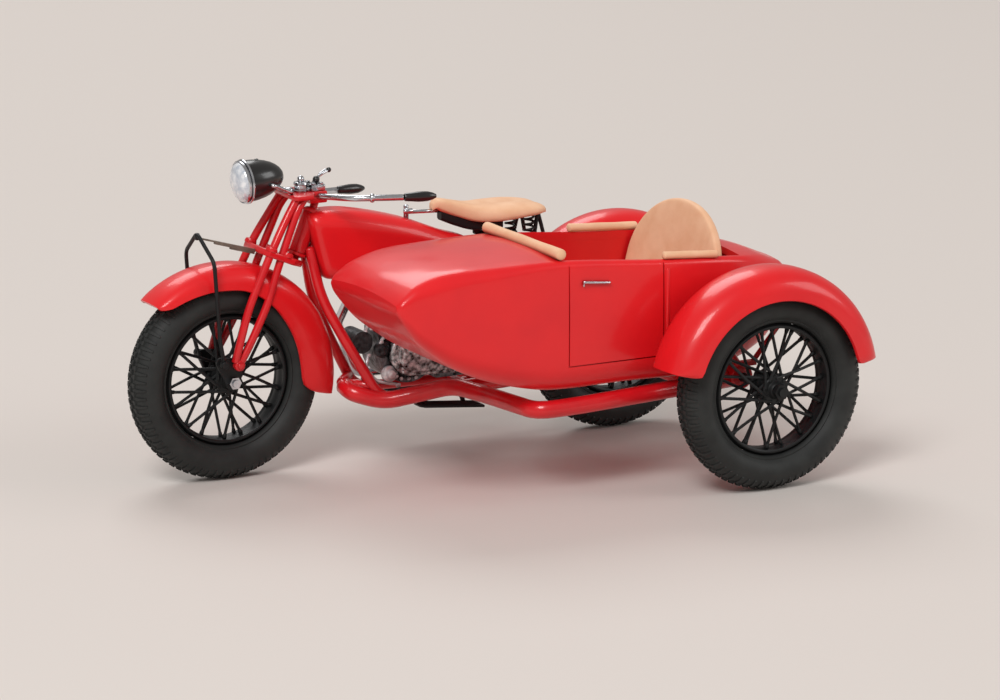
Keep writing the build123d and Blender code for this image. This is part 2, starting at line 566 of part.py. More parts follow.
def make_transmission(nodes):
    """Gearbox, primary case on the left, and the final chain on the right."""
    box = side_slab(Pos(-18.4, 7.35) * Rectangle(2.7, 2.9), -1.35, 1.35)
    shaft = disc((GEARBOX_X, GEARBOX_Z), 0.3, -2.15, -1.3)
    sprocket = disc((GEARBOX_X, GEARBOX_Z), GEARBOX_SPROCKET_R, CHAIN_Y - CHAIN_W / 2, CHAIN_Y + CHAIN_W / 2)
    gearbox = box.fuse(shaft, sprocket)
    seat_clear = rod((SEAT_TUBE_X, 0, CRADLE_Z), (SEAT_TUBE_X - 0.5, 0, 16.3), TUBE_R + SEAT_GAP)
    nodes["gearbox"] = gearbox - seat_clear - disc((ENGINE_X, ENGINE_Z), CRANKCASE_R + SEAT_GAP, -3, 3)
    left = CRANKCASE_HALF_W + SEAT_GAP
    hull = make_hull((Pos(ENGINE_X, ENGINE_Z) * Circle(1.75)).edges()
                     + (Pos(-18.5, 7.7) * Circle(1.35)).edges())
    nodes["primary_case"] = side_slab(hull, left, left + 0.7)
    rim = CHAIN_T / 2
    outer = make_hull((Pos(*REAR_AXLE) * Circle(REAR_SPROCKET_R + 0.08 + 2 * rim)).edges()
                      + (Pos(GEARBOX_X, GEARBOX_Z) * Circle(GEARBOX_SPROCKET_R + SEAT_GAP + 2 * rim)).edges())
    inner = make_hull((Pos(*REAR_AXLE) * Circle(REAR_SPROCKET_R + 0.08)).edges()
                      + (Pos(GEARBOX_X, GEARBOX_Z) * Circle(GEARBOX_SPROCKET_R + SEAT_GAP)).edges())
    nodes["drive_chain"] = side_slab(outer - inner, CHAIN_Y - CHAIN_W / 2, CHAIN_Y + CHAIN_W / 2)


def make_exhaust(nodes):
    """One pipe from each cylinder into a silencer low on the right."""
    y, z = EXHAUST_Y, EXHAUST_Z
    front = tube([(-12.5, -0.9, 12.0), (-11.3, -1.7, 12.1), (-10.9, -2.9, 10.0), (-12.8, y, z),
                  (-20.5, y, z)], EXHAUST_R, [0.6, 0.9, 1.6])
    rear = tube([(-16.7, -0.9, 12.0), (-17.9, -1.9, 12.0), (-17.4, -3.1, 9.0), (-18.3, y, z)],
                EXHAUST_R, [0.6, 0.9])
    silencer = rod((-20.4, y, z), (-27.4, y, z), SILENCER_R)
    tail = rod((-27.4, y, z), (-29.4, y, z), EXHAUST_R)
    exhaust = front.fuse(rear, silencer, tail)
    nodes["exhaust"] = (exhaust - nodes["front_cylinder"] - nodes["rear_cylinder"] - nodes["crankcase"]
                        ).solids().sort_by(lambda s: s.volume)[-1]


def make_footboards(nodes):
    """A board on each side below the cradle, on two brackets."""
    boards = []
    for side in (1, -1):
        y_low, y_high = sorted((side * 2.2, side * 4.0))
        board = Pos(-16.5, (y_low + y_high) / 2, 4.05) * Box(6.0, 1.8, 0.3)
        arms = [rod((x, side * 2.4, 4.1), (x, side * (LOOP_Y + TUBE_R * 0.8), CRADLE_Z - 0.1), 0.2) for x in (-14.5, -18.5)]
        boards.append((board.fuse(*arms) - nodes["frame"]).solids().sort_by(lambda s: s.volume)[-1])
    nodes["footboards"] = Compound(boards)


# ---------------------------------------------------------------- saddle, rear fender, lamp
SADDLE_TOP = ((-17.6, 19.55), (-19.2, 19.3), (-21.6, 18.75), (-24.4, 18.35), (-26.2, 18.45), (-27.3, 18.2))
SADDLE_PLAN = ((-17.5, 0.55), (-20.0, 0.95), (-22.0, 1.7), (-24.0, 2.75), (-26.2, 3.0), (-27.4, 1.9))


def saddle_slab(thick, drop, inset):
    """A slab that follows the saddle's dip, drop below its top, drawn in by inset."""
    top = [(x, z - drop) for x, z in SADDLE_TOP]
    under = [(x, z - drop - thick) for x, z in reversed(SADDLE_TOP)]
    side = side_slab(make_face(Polyline(*(top + under), close=True)), -4, 4)
    plan = [(x, y - inset) for x, y in SADDLE_PLAN]
    outline = plan + [(x, -y) for x, y in reversed(plan)]
    return side & extrude(Plane.XY * make_face(Polyline(*outline, close=True)), amount=40)


def make_saddle(nodes):
    """Leather saddle on a steel pan with two coil springs and a nose bracket."""
    nodes["saddle"] = saddle_slab(0.8, 0.0, 0.0)
    pan = saddle_slab(0.3, 0.8 + SEAT_GAP, 0.25)
    springs = [rod((-25.9, s * 1.7, 15.5), (-25.9, s * 1.7, 17.5), 0.45) for s in (1, -1)]
    arms = [tube([(-21.4, 0, 16.6), (-23.2, s * 1.7, 15.6), (-26.4, s * 1.7, 15.5)], 0.25, 0.6) for s in (1, -1)]
    post = rod((SEAT_TUBE_X - 0.5, 0, 16.3 + SEAT_GAP), (SEAT_TUBE_X - 0.55, 0, 17.9), 0.35)
    nose = rod((-15.2, 0, 18.35), (-18.6, 0, 18.35), 0.16)
    peg = rod((-15.3, 0, 18.0), (-15.3, 0, 19.3), 0.2)
    frame = pan.fuse(*springs, *arms, post, nose, peg)
    nodes["saddle_frame"] = (frame - nodes["fuel_tank"] - nodes["frame"]).solids().sort_by(lambda s: s.volume)[-1]


def make_rear_fender(nodes):
    """Domed fender over the rear wheel with a lamp on its tail."""
    section = domed_section(REAR_FENDER_R, TYRE_R + 0.3, REAR_FENDER_HALF_W, FENDER_T)
    fender = wheel_ring(section, REAR_AXLE, 0, 160, 22)
    nodes["rear_fender"] = fender - nodes["frame"]
    aim = radians(33)
    crown_r = REAR_FENDER_R + 0.05
    start = (REAR_AXLE[0] - crown_r * cos(aim), 0, REAR_AXLE[1] + crown_r * sin(aim))
    lamp = rod(start, (TAIL_X + 0.35, 0, start[2] + 0.85), 0.6)
    nodes["tail_lamp"] = lamp - Pos(TAIL_X - 2, 0, start[2]) * Box(4, 6, 6)
    nut_y = STAY_Y + TUBE_R + SEAT_GAP
    nut = Pos(*REAR_AXLE) * RegularPolygon(0.6, 6)
    nodes["rear_axle"] = disc(REAR_AXLE, STUB_R, -nut_y - 0.6, nut_y + 0.6).fuse(
        *[side_slab(nut, *sorted((s * nut_y, s * (nut_y + 0.4)))) for s in (1, -1)])


# ---------------------------------------------------------------- sidecar
def make_chassis(nodes):
    """Outer rail with its curved front member, inner rail, rear member and strut."""
    outer = tube([
        (-11.9, 2.25, CRADLE_Z + 0.35), (-13.6, 2.6, 5.35), (-16.4, 3.9, 6.95), (CHASSIS_FRONT_X, 6.0, CHASSIS_Z),
        (CHASSIS_FRONT_X, CHASSIS_OUTER_Y, CHASSIS_Z), (SIDECAR_AXLE_X, CHASSIS_OUTER_Y, CHASSIS_Z + 0.5),
    ], CHASSIS_R, [0.7, 1.4, 0.7, 1.6])
    inner = rod((CHASSIS_FRONT_X, CHASSIS_INNER_Y, CHASSIS_Z), (CHASSIS_REAR_X, CHASSIS_INNER_Y, CHASSIS_Z), CHASSIS_R * 0.85)
    rear = rod((CHASSIS_REAR_X, CHASSIS_OUTER_Y, CHASSIS_Z + 0.3), (CHASSIS_REAR_X, STAY_Y + 0.1, 6.9), CHASSIS_R * 0.85)
    strut = rod((-22.4, CHASSIS_INNER_Y - 0.1, CHASSIS_Z), (SEAT_TUBE_X - 0.4, 0.2, 13.0), STAY_R)
    lug = disc(CAR_AXLE, 0.95, CHASSIS_OUTER_Y - 0.5, CHASSIS_OUTER_Y + 0.9)
    chassis = outer.fuse(inner, rear, strut, lug)
    chassis = chassis - disc(CAR_AXLE, STUB_R + SEAT_GAP, CHASSIS_OUTER_Y - 0.2, CHASSIS_OUTER_Y + 2)
    nodes["sidecar_chassis"] = (chassis - nodes["frame"]).solids().sort_by(lambda s: s.volume)[-1]
    end = SIDECAR_TRACK + HUB_HALF_W
    nodes["sidecar_axle"] = disc(CAR_AXLE, STUB_R, CHASSIS_OUTER_Y, end + 0.75).fuse(
        side_slab(Pos(*CAR_AXLE) * RegularPolygon(0.6, 6), end + 0.12, end + 0.55))


CAR_UNDER = ((-5.75, 15.7), (-6.3, 14.7), (-7.3, 13.1), (-8.6, 11.75), (-10.2, CAR_FLOOR_Z + 2.4),
             (-12.4, CAR_FLOOR_Z + 1.35), (-15.0, CAR_FLOOR_Z + 0.55), (-18.2, CAR_FLOOR_Z),
             (-31.5, CAR_FLOOR_Z), (-36.5, CAR_FLOOR_Z + 1.4), (-39.6, 12.0))
CAR_TOP = ((-39.9, 14.7), (-36.0, 16.5), (-32.2, 16.85), (-26.8, 17.2), (-18.6, CAR_SHOULDER_Z),
           (-13.4, CAR_SHOULDER_Z), (-9.3, 17.6), (-7.3, 17.05), (-6.2, 16.35))
CAR_PLAN = tuple((x, CAR_HALF_W - inset) for x, inset in (   # how far the sides draw in, nose to tail
    (-5.6, 0.575), (-8.5, 0.325), (-13.0, 0.075), (-18.6, 0.0), (-30.0, 0.0), (-34.5, 0.775),
    (-38.0, 2.175), (-39.95, 3.375),
))
DOOR_FRONT_X, DOOR_REAR_X = -18.9, -26.8
DOOR_LOW_Z = 10.1
GROOVE_W, GROOVE_DEPTH = 0.16, 0.12


def car_shape(shrink):
    """The sidecar body's outer form, drawn in by shrink on every side."""
    outline = list(CAR_UNDER) + list(CAR_TOP)
    face = make_face(Polyline(*outline, close=True))
    if shrink > 0:
        face = offset(face, -shrink, kind=Kind.INTERSECTION)
    side = side_slab(face, 0, 30)
    plan = [(x, CAR_MID_Y + half) for x, half in CAR_PLAN] + [(x, CAR_MID_Y - half) for x, half in reversed(CAR_PLAN)]
    top = make_face(Polyline(*plan, close=True))
    if shrink > 0:
        top = offset(top, -shrink, kind=Kind.INTERSECTION)
    return side & extrude(Plane.XY * top, amount=40)


def make_sidecar_body(nodes):
    """A hollow punt-nosed tub under a front deck and a tail deck, with an engraved door outline."""
    outer, inner = car_shape(0), car_shape(CAR_WALL)
    shell = outer - inner
    mouth = Pos((COCKPIT_FRONT_X + COCKPIT_REAR_X) / 2, CAR_MID_Y, 20) * Box(
        COCKPIT_FRONT_X - COCKPIT_REAR_X, CAR_Y_OUTER - CAR_Y_INNER - 2 * CAR_WALL, 12)
    shell = shell - mouth
    for x in (DOOR_FRONT_X, DOOR_REAR_X):
        shell = shell - Pos(x, CAR_Y_OUTER, (DOOR_LOW_Z + 20) / 2) * Box(GROOVE_W, 2 * GROOVE_DEPTH, 20 - DOOR_LOW_Z)
    shell = shell - Pos((DOOR_FRONT_X + DOOR_REAR_X) / 2, CAR_Y_OUTER, DOOR_LOW_Z) * Box(
        DOOR_FRONT_X - DOOR_REAR_X + GROOVE_W, 2 * GROOVE_DEPTH, GROOVE_W)
    front_cut = Pos(COCKPIT_FRONT_X + 15, CAR_MID_Y, 0) * Box(30, 30, 60)
    deck_low = 15.9
    deck_zone = Pos(COCKPIT_FRONT_X + 15, CAR_MID_Y, deck_low + 10) * Box(30, 30, 20)
    tail_zone = Pos(COCKPIT_REAR_X - 10, CAR_MID_Y, 13.9 + 10) * Box(20, 30, 20)
    gap_front = Pos(COCKPIT_FRONT_X + 15 - SEAT_GAP / 2, CAR_MID_Y, deck_low + 10 - SEAT_GAP / 2) * Box(30 + SEAT_GAP, 30, 20 + SEAT_GAP)
    gap_tail = Pos(COCKPIT_REAR_X - 10 + SEAT_GAP / 2, CAR_MID_Y, 13.9 + 10 - SEAT_GAP / 2) * Box(20 + SEAT_GAP, 30, 20 + SEAT_GAP)
    nodes["sidecar_deck"] = shell & deck_zone
    nodes["sidecar_tail_deck"] = shell & tail_zone
    nodes["sidecar_tub"] = shell - gap_front - gap_tail
    handle = side_slab(Pos(-21.15, 16.3) * Rectangle(2.1, 0.22), CAR_Y_OUTER + 0.12, CAR_Y_OUTER + 0.32)
    posts = [side_slab(Pos(x, 16.3) * Rectangle(0.26, 0.3), CAR_Y_OUTER + 0.01, CAR_Y_OUTER + 0.14) for x in (-20.3, -22.0)]
    strap = side_slab(Pos(DOOR_REAR_X - 0.35, 13.4) * Rectangle(0.3, 6.4), CAR_Y_OUTER + 0.01, CAR_Y_OUTER + 0.18)
    nodes["door_handle"] = handle.fuse(*posts)
    nodes["door_hinge"] = strap


def make_upholstery(nodes):
    """Cushion, wrap-around back and the padded rolls on the cockpit's edge."""
    lining = car_shape(CAR_WALL + 0.25)
    zone = Pos((CUSHION_FRONT_X + CUSHION_REAR_X) / 2, CAR_MID_Y, (CUSHION_LOW_Z + CUSHION_TOP_Z) / 2) * Box(
        CUSHION_FRONT_X - CUSHION_REAR_X, 20, CUSHION_TOP_Z - CUSHION_LOW_Z)
    nodes["seat_cushion"] = lining & zone
    half, top = BACK_HALF_W, BACK_TOP_Z - BACK_LOW_Z
    rise = BACK_SPRING_Z - BACK_LOW_Z
    arch = [(half * cos(radians(t)), rise + (top - rise) * sin(radians(t))) for t in range(0, 181, 15)]
    outline = make_face(Polyline(*([(half, 0)] + arch + [(-half, 0)]), close=True))
    stand = Pos(BACK_X, CAR_MID_Y, BACK_LOW_Z) * Rot(0, 0, BACK_YAW_DEG) * Rot(0, -BACK_LEAN_DEG, 0)
    back = extrude(Plane(origin=(0, 0, 0), x_dir=(0, 1, 0), z_dir=(1, 0, 0)) * outline, amount=BACK_T)
    nodes["seat_back"] = stand * back
    rolls = []
    roll_r = ROLL_R
    rolls.append(rod((COCKPIT_FRONT_X + 0.1, CAR_Y_INNER + 0.3, CAR_SHOULDER_Z + roll_r + 0.05),
                     (COCKPIT_FRONT_X + 0.1, CAR_Y_OUTER - 0.2, CAR_SHOULDER_Z + roll_r + 0.05), roll_r))
    nodes["scuttle_roll"] = rolls[0]
    sides = []
    for y in (CAR_Y_INNER + 0.3, CAR_Y_OUTER - 0.3):
        sides.append(rod((-25.4 if y < CAR_MID_Y else -26.9, y, 17.72), (-31.6, y, 17.45), 0.38))
    nodes["coaming_rolls"] = Compound(sides)


def make_car_fender(nodes):
    """A wide domed fender over the sidecar wheel, on two stays."""
    centre = (SIDECAR_AXLE_X + 0.35, TYRE_R + 0.15)
    crown_r, lip_r = CAR_FENDER_R, TYRE_R - 0.05
    drop = crown_r - lip_r
    w, t = CAR_FENDER_HALF_W, CAR_FENDER_T
    outer = [(lip_r, w), (lip_r + 0.42 * drop, 0.95 * w), (lip_r + 0.78 * drop, 0.7 * w), (crown_r, 0.25 * w)]
    inner = [(lip_r, w - t), (lip_r + 0.36 * drop, 0.95 * w - t), (lip_r + 0.68 * drop, 0.62 * w - 0.5 * t), (crown_r - t, 0.2 * w)]
    nodes["sidecar_fender"] = wheel_ring(fender_band(outer, inner), centre, SIDECAR_TRACK, 158, 14)
    stays = []
    for dx, z in ((4.6, 14.4), (-4.6, 14.4)):
        stays.append(rod((SIDECAR_AXLE_X + 0.12 * dx, CHASSIS_OUTER_Y + 1.2, TYRE_R + 1.1),
                         (SIDECAR_AXLE_X + dx, SIDECAR_TRACK - w - 0.22, z), 0.2))
    base = side_slab(Pos(SIDECAR_AXLE_X, TYRE_R + 1.15) * Rectangle(1.6, 0.35), CHASSIS_OUTER_Y + 0.9, CHASSIS_OUTER_Y + 1.5)
    nodes["fender_stays"] = (base.fuse(*stays) - nodes["sidecar_fender"] - nodes["sidecar_chassis"]).solids().sort_by(lambda s: s.volume)[-1]


def finish(nodes):
    """Move every piece to the stored frame and write it."""
    os.makedirs("parts", exist_ok=True)
    for name, shape in nodes.items():
        moved = Pos(-ORIGIN_X, -ORIGIN_Y, 0) * shape
        export_step(moved, os.path.join("parts", name + ".step"))


def build():
    """Make every node of the model."""
    nodes = {}
    for step in (make_wheels, make_fork, make_links, make_spring, make_front_fender, make_headlamp,
                 make_handlebar, make_frame, make_tank, make_engine, make_transmission, make_exhaust,
                 make_footboards, make_saddle, make_rear_fender, make_chassis, make_sidecar_body,
                 make_upholstery, make_car_fender):
        step(nodes)
    return nodes


if __name__ == "__main__":
    finish(build())
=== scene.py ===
"""Looks of a 1:43 sidecar motorcycle model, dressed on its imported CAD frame.

Lengths are written in millimetres in the working frame of the machine: X forward and Y left of the
front axle's middle, Z above the ground. Mesh.make turns them into the metres of the row frame.
"""

import logging
import random
from dataclasses import dataclass, field
from enum import Enum
from math import atan2, copysign, cos, exp, pi, radians, sin, sqrt
from typing import Callable, Iterable, Sequence

import bmesh
import bpy
from mathutils import Matrix, Quaternion, Vector


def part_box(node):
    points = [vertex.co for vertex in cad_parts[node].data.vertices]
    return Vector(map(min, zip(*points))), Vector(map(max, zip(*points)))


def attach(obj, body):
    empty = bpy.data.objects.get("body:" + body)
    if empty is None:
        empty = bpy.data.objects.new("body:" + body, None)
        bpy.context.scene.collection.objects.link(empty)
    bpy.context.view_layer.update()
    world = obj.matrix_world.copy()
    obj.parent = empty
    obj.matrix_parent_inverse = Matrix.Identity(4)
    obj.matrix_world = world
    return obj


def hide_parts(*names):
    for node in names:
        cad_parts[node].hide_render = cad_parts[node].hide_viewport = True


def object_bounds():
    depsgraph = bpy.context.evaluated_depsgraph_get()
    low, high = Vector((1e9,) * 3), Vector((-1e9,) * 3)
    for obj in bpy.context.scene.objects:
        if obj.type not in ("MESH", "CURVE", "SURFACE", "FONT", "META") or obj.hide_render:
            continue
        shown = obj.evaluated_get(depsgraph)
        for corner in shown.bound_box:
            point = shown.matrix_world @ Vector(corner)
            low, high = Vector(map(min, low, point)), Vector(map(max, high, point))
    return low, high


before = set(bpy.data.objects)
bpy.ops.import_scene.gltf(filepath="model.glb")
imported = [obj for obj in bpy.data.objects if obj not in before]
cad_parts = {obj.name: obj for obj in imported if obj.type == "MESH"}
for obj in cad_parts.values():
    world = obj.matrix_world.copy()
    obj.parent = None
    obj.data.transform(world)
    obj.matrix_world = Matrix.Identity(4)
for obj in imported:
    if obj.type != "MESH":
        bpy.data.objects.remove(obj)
CAD_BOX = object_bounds()

LOG = logging.getLogger("scene")
MM = 0.001
CREVICE_MM = 0.6  # how wide a hollow may be and still be darkened: black wash on the washed castings, painted shade elsewhere
CREVICE_LEVEL = 0.12  # how bright the darkest hollow is, beside the finish's second colour: wash or painted shade, by finish

Pair = tuple[float, float]
Line = tuple[Pair, ...]
Point = tuple[float, float, float]
Path = tuple[Point, ...]
Ends = tuple[Point, Point]
Row = list[Vector]
Ring = tuple[Vector, Vector, Vector, float]


class Body(Enum):
    """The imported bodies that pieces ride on."""

    MACHINE = "machine"
    STEERING = "steering"
    FRONT_WHEEL = "front_wheel"
    REAR_WHEEL = "rear_wheel"
    SIDECAR_WHEEL = "sidecar_wheel"


class Slot(Enum):
    """The record's material slots."""

    RED = "red_enamel"
    BLACK = "black_enamel"
    CHROME = "chrome"
    WHITE_METAL = "white_metal"
    BRASS = "spring_brass"
    GLASS = "lens_glass"
    TAN = "tan_enamel"
    RUBBER = "rubber_tyre"


# ---- measures taken from the frame
def box_mm(node: str) -> tuple[Vector, Vector]:
    """Returns: the lowest and highest corner of a CAD node, in millimetres of the row frame."""
    low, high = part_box(node)
    return low / MM, high / MM


def middle_mm(node: str) -> Vector:
    """Returns: the middle of a CAD node's box, in millimetres of the row frame."""
    low, high = box_mm(node)
    return (low + high) / 2


DATUM = Vector((*middle_mm("front_tyre").xy, 0.0))
TO_ROW = Matrix.Scale(MM, 4) @ Matrix.Translation(DATUM)
OUTBOARD = Matrix.Rotation(-pi / 2, 4, "X")  # takes the Z axis to +Y, towards the sidecar


def working_box(node: str) -> tuple[Vector, Vector]:
    """Returns: the lowest and highest corner of a CAD node, in the working frame."""
    low, high = box_mm(node)
    return low - DATUM, high - DATUM


# ---- colour and node helpers
def linear(hex_colour: str) -> tuple[float, float, float, float]:
    """Returns: the linear red, green, blue and alpha of an sRGB hex colour such as "#C41E24"."""
    parts = [int(hex_colour[i:i + 2], 16) / 255.0 for i in (1, 3, 5)]
    return (*(c / 12.92 if c <= 0.04045 else ((c + 0.055) / 1.055) ** 2.4 for c in parts), 1.0)


def add_node(material: bpy.types.Material, kind: str, **inputs: object) -> bpy.types.Node:
    """Adds one shader node and fills its sockets.

    Args:
        material: the material that gets the node.
        kind: the node's type, such as "ShaderNodeBump".
        inputs: socket names, with spaces as underscores, and either a value or a socket to link.

    Returns:
        The new node.
    """
    tree = material.node_tree
    node = tree.nodes.new(kind)
    for key, value in inputs.items():
        socket = node.inputs[key.replace("_", " ")]
        if isinstance(value, bpy.types.NodeSocket):
            tree.links.new(value, socket)
        else:
            socket.default_value = value
    return node


@dataclass(frozen=True)
class Finish:
    """One surface finish, named for the real material.

    Args:
        name: the material's name.
        slot: the record's slot that it stands for; not used.
        base: the main colour, sRGB.
        second: a second colour that drifts in, sRGB.
        patch_mm: how large the drifts of the second colour are.
        share: how much of the second colour there is, from 0 to 1.
        roughness: of the main surface.
        metallic: 1 for bare metal.
        coat: weight of a clear coat.
        coat_roughness: of the clear coat.
        grain_mm: the size of the fine relief.
        relief: the strength of the fine relief.
        relief_mm: the depth of the fine relief.
        wash_and_hollow_shade: how strongly hollows darken, from 0 to 1: the black wash on the washed
            castings, painted shade on every other finish.
        specular: the specular level.
    """

    name: str
    slot: Slot
    base: str
    second: str
    patch_mm: float = 3.0
    share: float = 0.3
    roughness: float = 0.4
    metallic: float = 0.0
    coat: float = 0.0
    coat_roughness: float = 0.1
    grain_mm: float = 0.3
    relief: float = 0.1
    relief_mm: float = 0.02
    wash_and_hollow_shade: float = 0.0
    specular: float = 0.5

    def build(self) -> bpy.types.Material:
        """Makes the Blender material, or finds it if it is already there.

        Returns:
            The material.
        """
        known = bpy.data.materials.get(self.name)
        if known:
            return known
        material = bpy.data.materials.new(self.name)
        material.use_nodes = True
        tree = material.node_tree
        shader = tree.nodes["Principled BSDF"]
        place = add_node(material, "ShaderNodeTexCoord").outputs["Object"]
        drift = add_node(material, "ShaderNodeTexNoise", Vector=place,
                         Scale=1.0 / (self.patch_mm * MM), Detail=3.0)
        level = add_node(material, "ShaderNodeMapRange", Value=drift.outputs["Fac"],
                         From_Min=0.35, From_Max=0.65, To_Min=0.0, To_Max=self.share)
        colour = self._mix(material, level.outputs["Result"], linear(self.base), linear(self.second))
        # Hollows that ambient occlusion finds are darkened towards the second colour: the black wash on
        # the washed castings, painted shade on every other finish.
        if self.wash_and_hollow_shade > 0.0:
            hollow = add_node(material, "ShaderNodeAmbientOcclusion", Distance=CREVICE_MM * MM)
            shade = add_node(material, "ShaderNodeMapRange", Value=hollow.outputs["AO"],
                             From_Min=0.25, From_Max=0.85, To_Min=self.wash_and_hollow_shade, To_Max=0.0)
            dark = tuple(CREVICE_LEVEL * c for c in linear(self.second)[:3]) + (1.0,)
            colour = self._mix(material, shade.outputs["Result"], colour, dark)
        tree.links.new(colour, shader.inputs["Base Color"])
        for socket, value in (("Roughness", self.roughness), ("Metallic", self.metallic),
                              ("Specular IOR Level", self.specular), ("Coat Weight", self.coat),
                              ("Coat Roughness", self.coat_roughness)):
            shader.inputs[socket].default_value = value
        if self.relief > 0.0:
            grain = add_node(material, "ShaderNodeTexNoise", Vector=place,
                             Scale=1.0 / (self.grain_mm * MM), Detail=2.0)
            bump = add_node(material, "ShaderNodeBump", Strength=self.relief,
                            Distance=self.relief_mm * MM, Height=grain.outputs["Fac"])
            tree.links.new(bump.outputs["Normal"], shader.inputs["Normal"])
            if self.coat > 0.0:
                tree.links.new(bump.outputs["Normal"], shader.inputs["Coat Normal"])
        return material

    @staticmethod
    def _mix(material: bpy.types.Material, factor: bpy.types.NodeSocket, first: object,
             other: object) -> bpy.types.NodeSocket:
        """Mixes two colours.

        Args:
            material: the material that gets the node.
            factor: the socket that says how much of the other colour there is.
            first: a colour or a socket.
            other: a colour or a socket.

        Returns:
            The socket of the mixed colour.
        """
        node = material.node_tree.nodes.new("ShaderNodeMix")
        node.data_type = "RGBA"
        material.node_tree.links.new(factor, node.inputs[0])
        for socket, value in ((node.inputs[6], first), (node.inputs[7], other)):
            if isinstance(value, bpy.types.NodeSocket):
                material.node_tree.links.new(value, socket)
            else:
                socket.default_value = value
        return node.outputs[2]


# Pigment, casting grain and rubber bloom are about 0.05 mm across on a model of this size, too fine to
# show in the render. Each grain_mm and patch_mm below one millimetre is therefore drawn five to ten
# times as coarse.

# Thick brushed enamel: a wet gloss whose reflections waver, as no paint levels fully at this size. Brush
# marks run some millimetres apart, which the drift of patch_mm and the slow relief of grain_mm give.
# Its darkened hollows are painted shade.
RED_ENAMEL = Finish("red_enamel_paint", Slot.RED, "#EB1A20", "#DB151F", patch_mm=5.0, share=0.6,
                    roughness=0.38, coat=0.42, coat_roughness=0.12, grain_mm=1.6, relief=0.35,
                    relief_mm=0.03, wash_and_hollow_shade=0.3, specular=0.32)
# The same enamel on thin tubes, where it lies thicker and looks deeper.
# Its darkened hollows, where tubes meet, are painted shade.
RED_TUBE = Finish("red_enamel_on_tube", Slot.RED, "#E01821", "#C4131D", patch_mm=2.0, share=0.6,
                  roughness=0.33, coat=0.55, coat_roughness=0.1, grain_mm=0.8, relief=0.35,
                  relief_mm=0.03, wash_and_hollow_shade=0.45, specular=0.35)
# Satin black on rims, spokes and wire, which reads as a flat dark shape with soft grey edges.
BLACK_SATIN = Finish("black_satin_enamel", Slot.BLACK, "#151617", "#0D0D0F", roughness=0.5,
                     specular=0.35, grain_mm=0.4, relief=0.2, relief_mm=0.02)
# Brushed gloss black on the headlamp's bowl and the grips: deeper, with one soft highlight.
BLACK_GLOSS = Finish("black_gloss_enamel", Slot.BLACK, "#1B1A1B", "#121213", roughness=0.28, coat=0.4,
                     coat_roughness=0.12, grain_mm=0.9, relief=0.25, relief_mm=0.02)
# Plated wire and castings: bright, but a little rough, so that it flickers between white and grey.
# Its darkened hollows are painted shade.
BRIGHT_PLATE = Finish("bright_plated_metal", Slot.CHROME, "#D9DBE0", "#A9ACB2", patch_mm=0.8, share=0.5,
                      roughness=0.2, metallic=1.0, grain_mm=0.5, relief=0.4, relief_mm=0.03, wash_and_hollow_shade=0.6)
# Soft casting metal with a black wash left in its hollows.
CAST_METAL = Finish("washed_white_metal", Slot.WHITE_METAL, "#F0F1F3", "#0C0D0E", patch_mm=0.42,
                    share=0.95, roughness=0.24, metallic=0.7, grain_mm=0.25, relief=0.9, relief_mm=0.09,
                    wash_and_hollow_shade=1.0)
# The same metal under more of the wash: a dark case whose raised grain catches the light.
DARK_CASE = Finish("dark_washed_case", Slot.WHITE_METAL, "#7C7E82", "#0B0C0D", patch_mm=0.6, share=0.95,
                   roughness=0.3, metallic=0.75, grain_mm=0.3, relief=0.8, relief_mm=0.07, wash_and_hollow_shade=1.0)
# Bare metal on the engine's pipes, unions, tappets and screw heads, made near-white and hardly metallic:
# part their own colour, part a painted highlight for the glints on them.
BARE_METAL_AND_HIGHLIGHT = Finish("wiped_bright_casting", Slot.WHITE_METAL, "#ECEDEF", "#8C8E92", patch_mm=0.5,
                     share=0.5, roughness=0.24, metallic=0.35, grain_mm=0.3, relief=0.5, relief_mm=0.04,
                     wash_and_hollow_shade=0.8)
# Barrels, magneto and pump cap: the same casting painted black, with worn grey showing through in
# patches.
BLACK_CASTING = Finish("black_washed_barrel", Slot.WHITE_METAL, "#1D1D1F", "#55575A", patch_mm=0.35,
                       share=0.5, roughness=0.4, metallic=0.5, grain_mm=0.3, relief=0.6, relief_mm=0.05,
                       wash_and_hollow_shade=0.8)
# Bare rolled strip of the leaf spring: a dull warm grey, streaked where it has tarnished.
# Its darkened hollows, between the strips, are painted shade.
BARE_STRIP = Finish("bare_spring_strip", Slot.BRASS, "#8E8276", "#5F564E", patch_mm=0.8, share=0.6,
                    roughness=0.4, metallic=0.7, grain_mm=0.3, relief=0.3, relief_mm=0.02, wash_and_hollow_shade=0.5)
# Matt tan paint that stands for leather: pale, chalky and a little mottled.
# Its darkened hollows are painted shade.
TAN_PAINT = Finish("tan_leather_paint", Slot.TAN, "#F5C6A1", "#E5AC83", patch_mm=1.6, share=0.55,
                   roughness=0.62, grain_mm=0.5, relief=0.35, relief_mm=0.03, wash_and_hollow_shade=0.6, specular=0.35)
# Matt rubber: charcoal with a dusty grey bloom.
# Its darkened hollows, between the tread blocks, are painted shade.
TYRE_RUBBER = Finish("matt_tyre_rubber", Slot.RUBBER, "#2A2C2B", "#1C1D1D", patch_mm=1.5, share=0.7,
                     roughness=0.62, grain_mm=0.25, relief=0.4, relief_mm=0.02, wash_and_hollow_shade=0.7,
                     specular=0.4)
# The lamp's glass over its plated dish, drawn as one solid near-white dome: the dish's silver,
# brightened into a painted reflection.
LENS_AND_PAINTED_REFLECTION = Finish("domed_lamp_glass", Slot.GLASS, "#FAFCFF", "#B4BECD", patch_mm=0.5, share=0.8,
                    roughness=0.12, metallic=0.12, coat=1.0, coat_roughness=0.03, grain_mm=0.5,
                    relief=0.5, relief_mm=0.05)


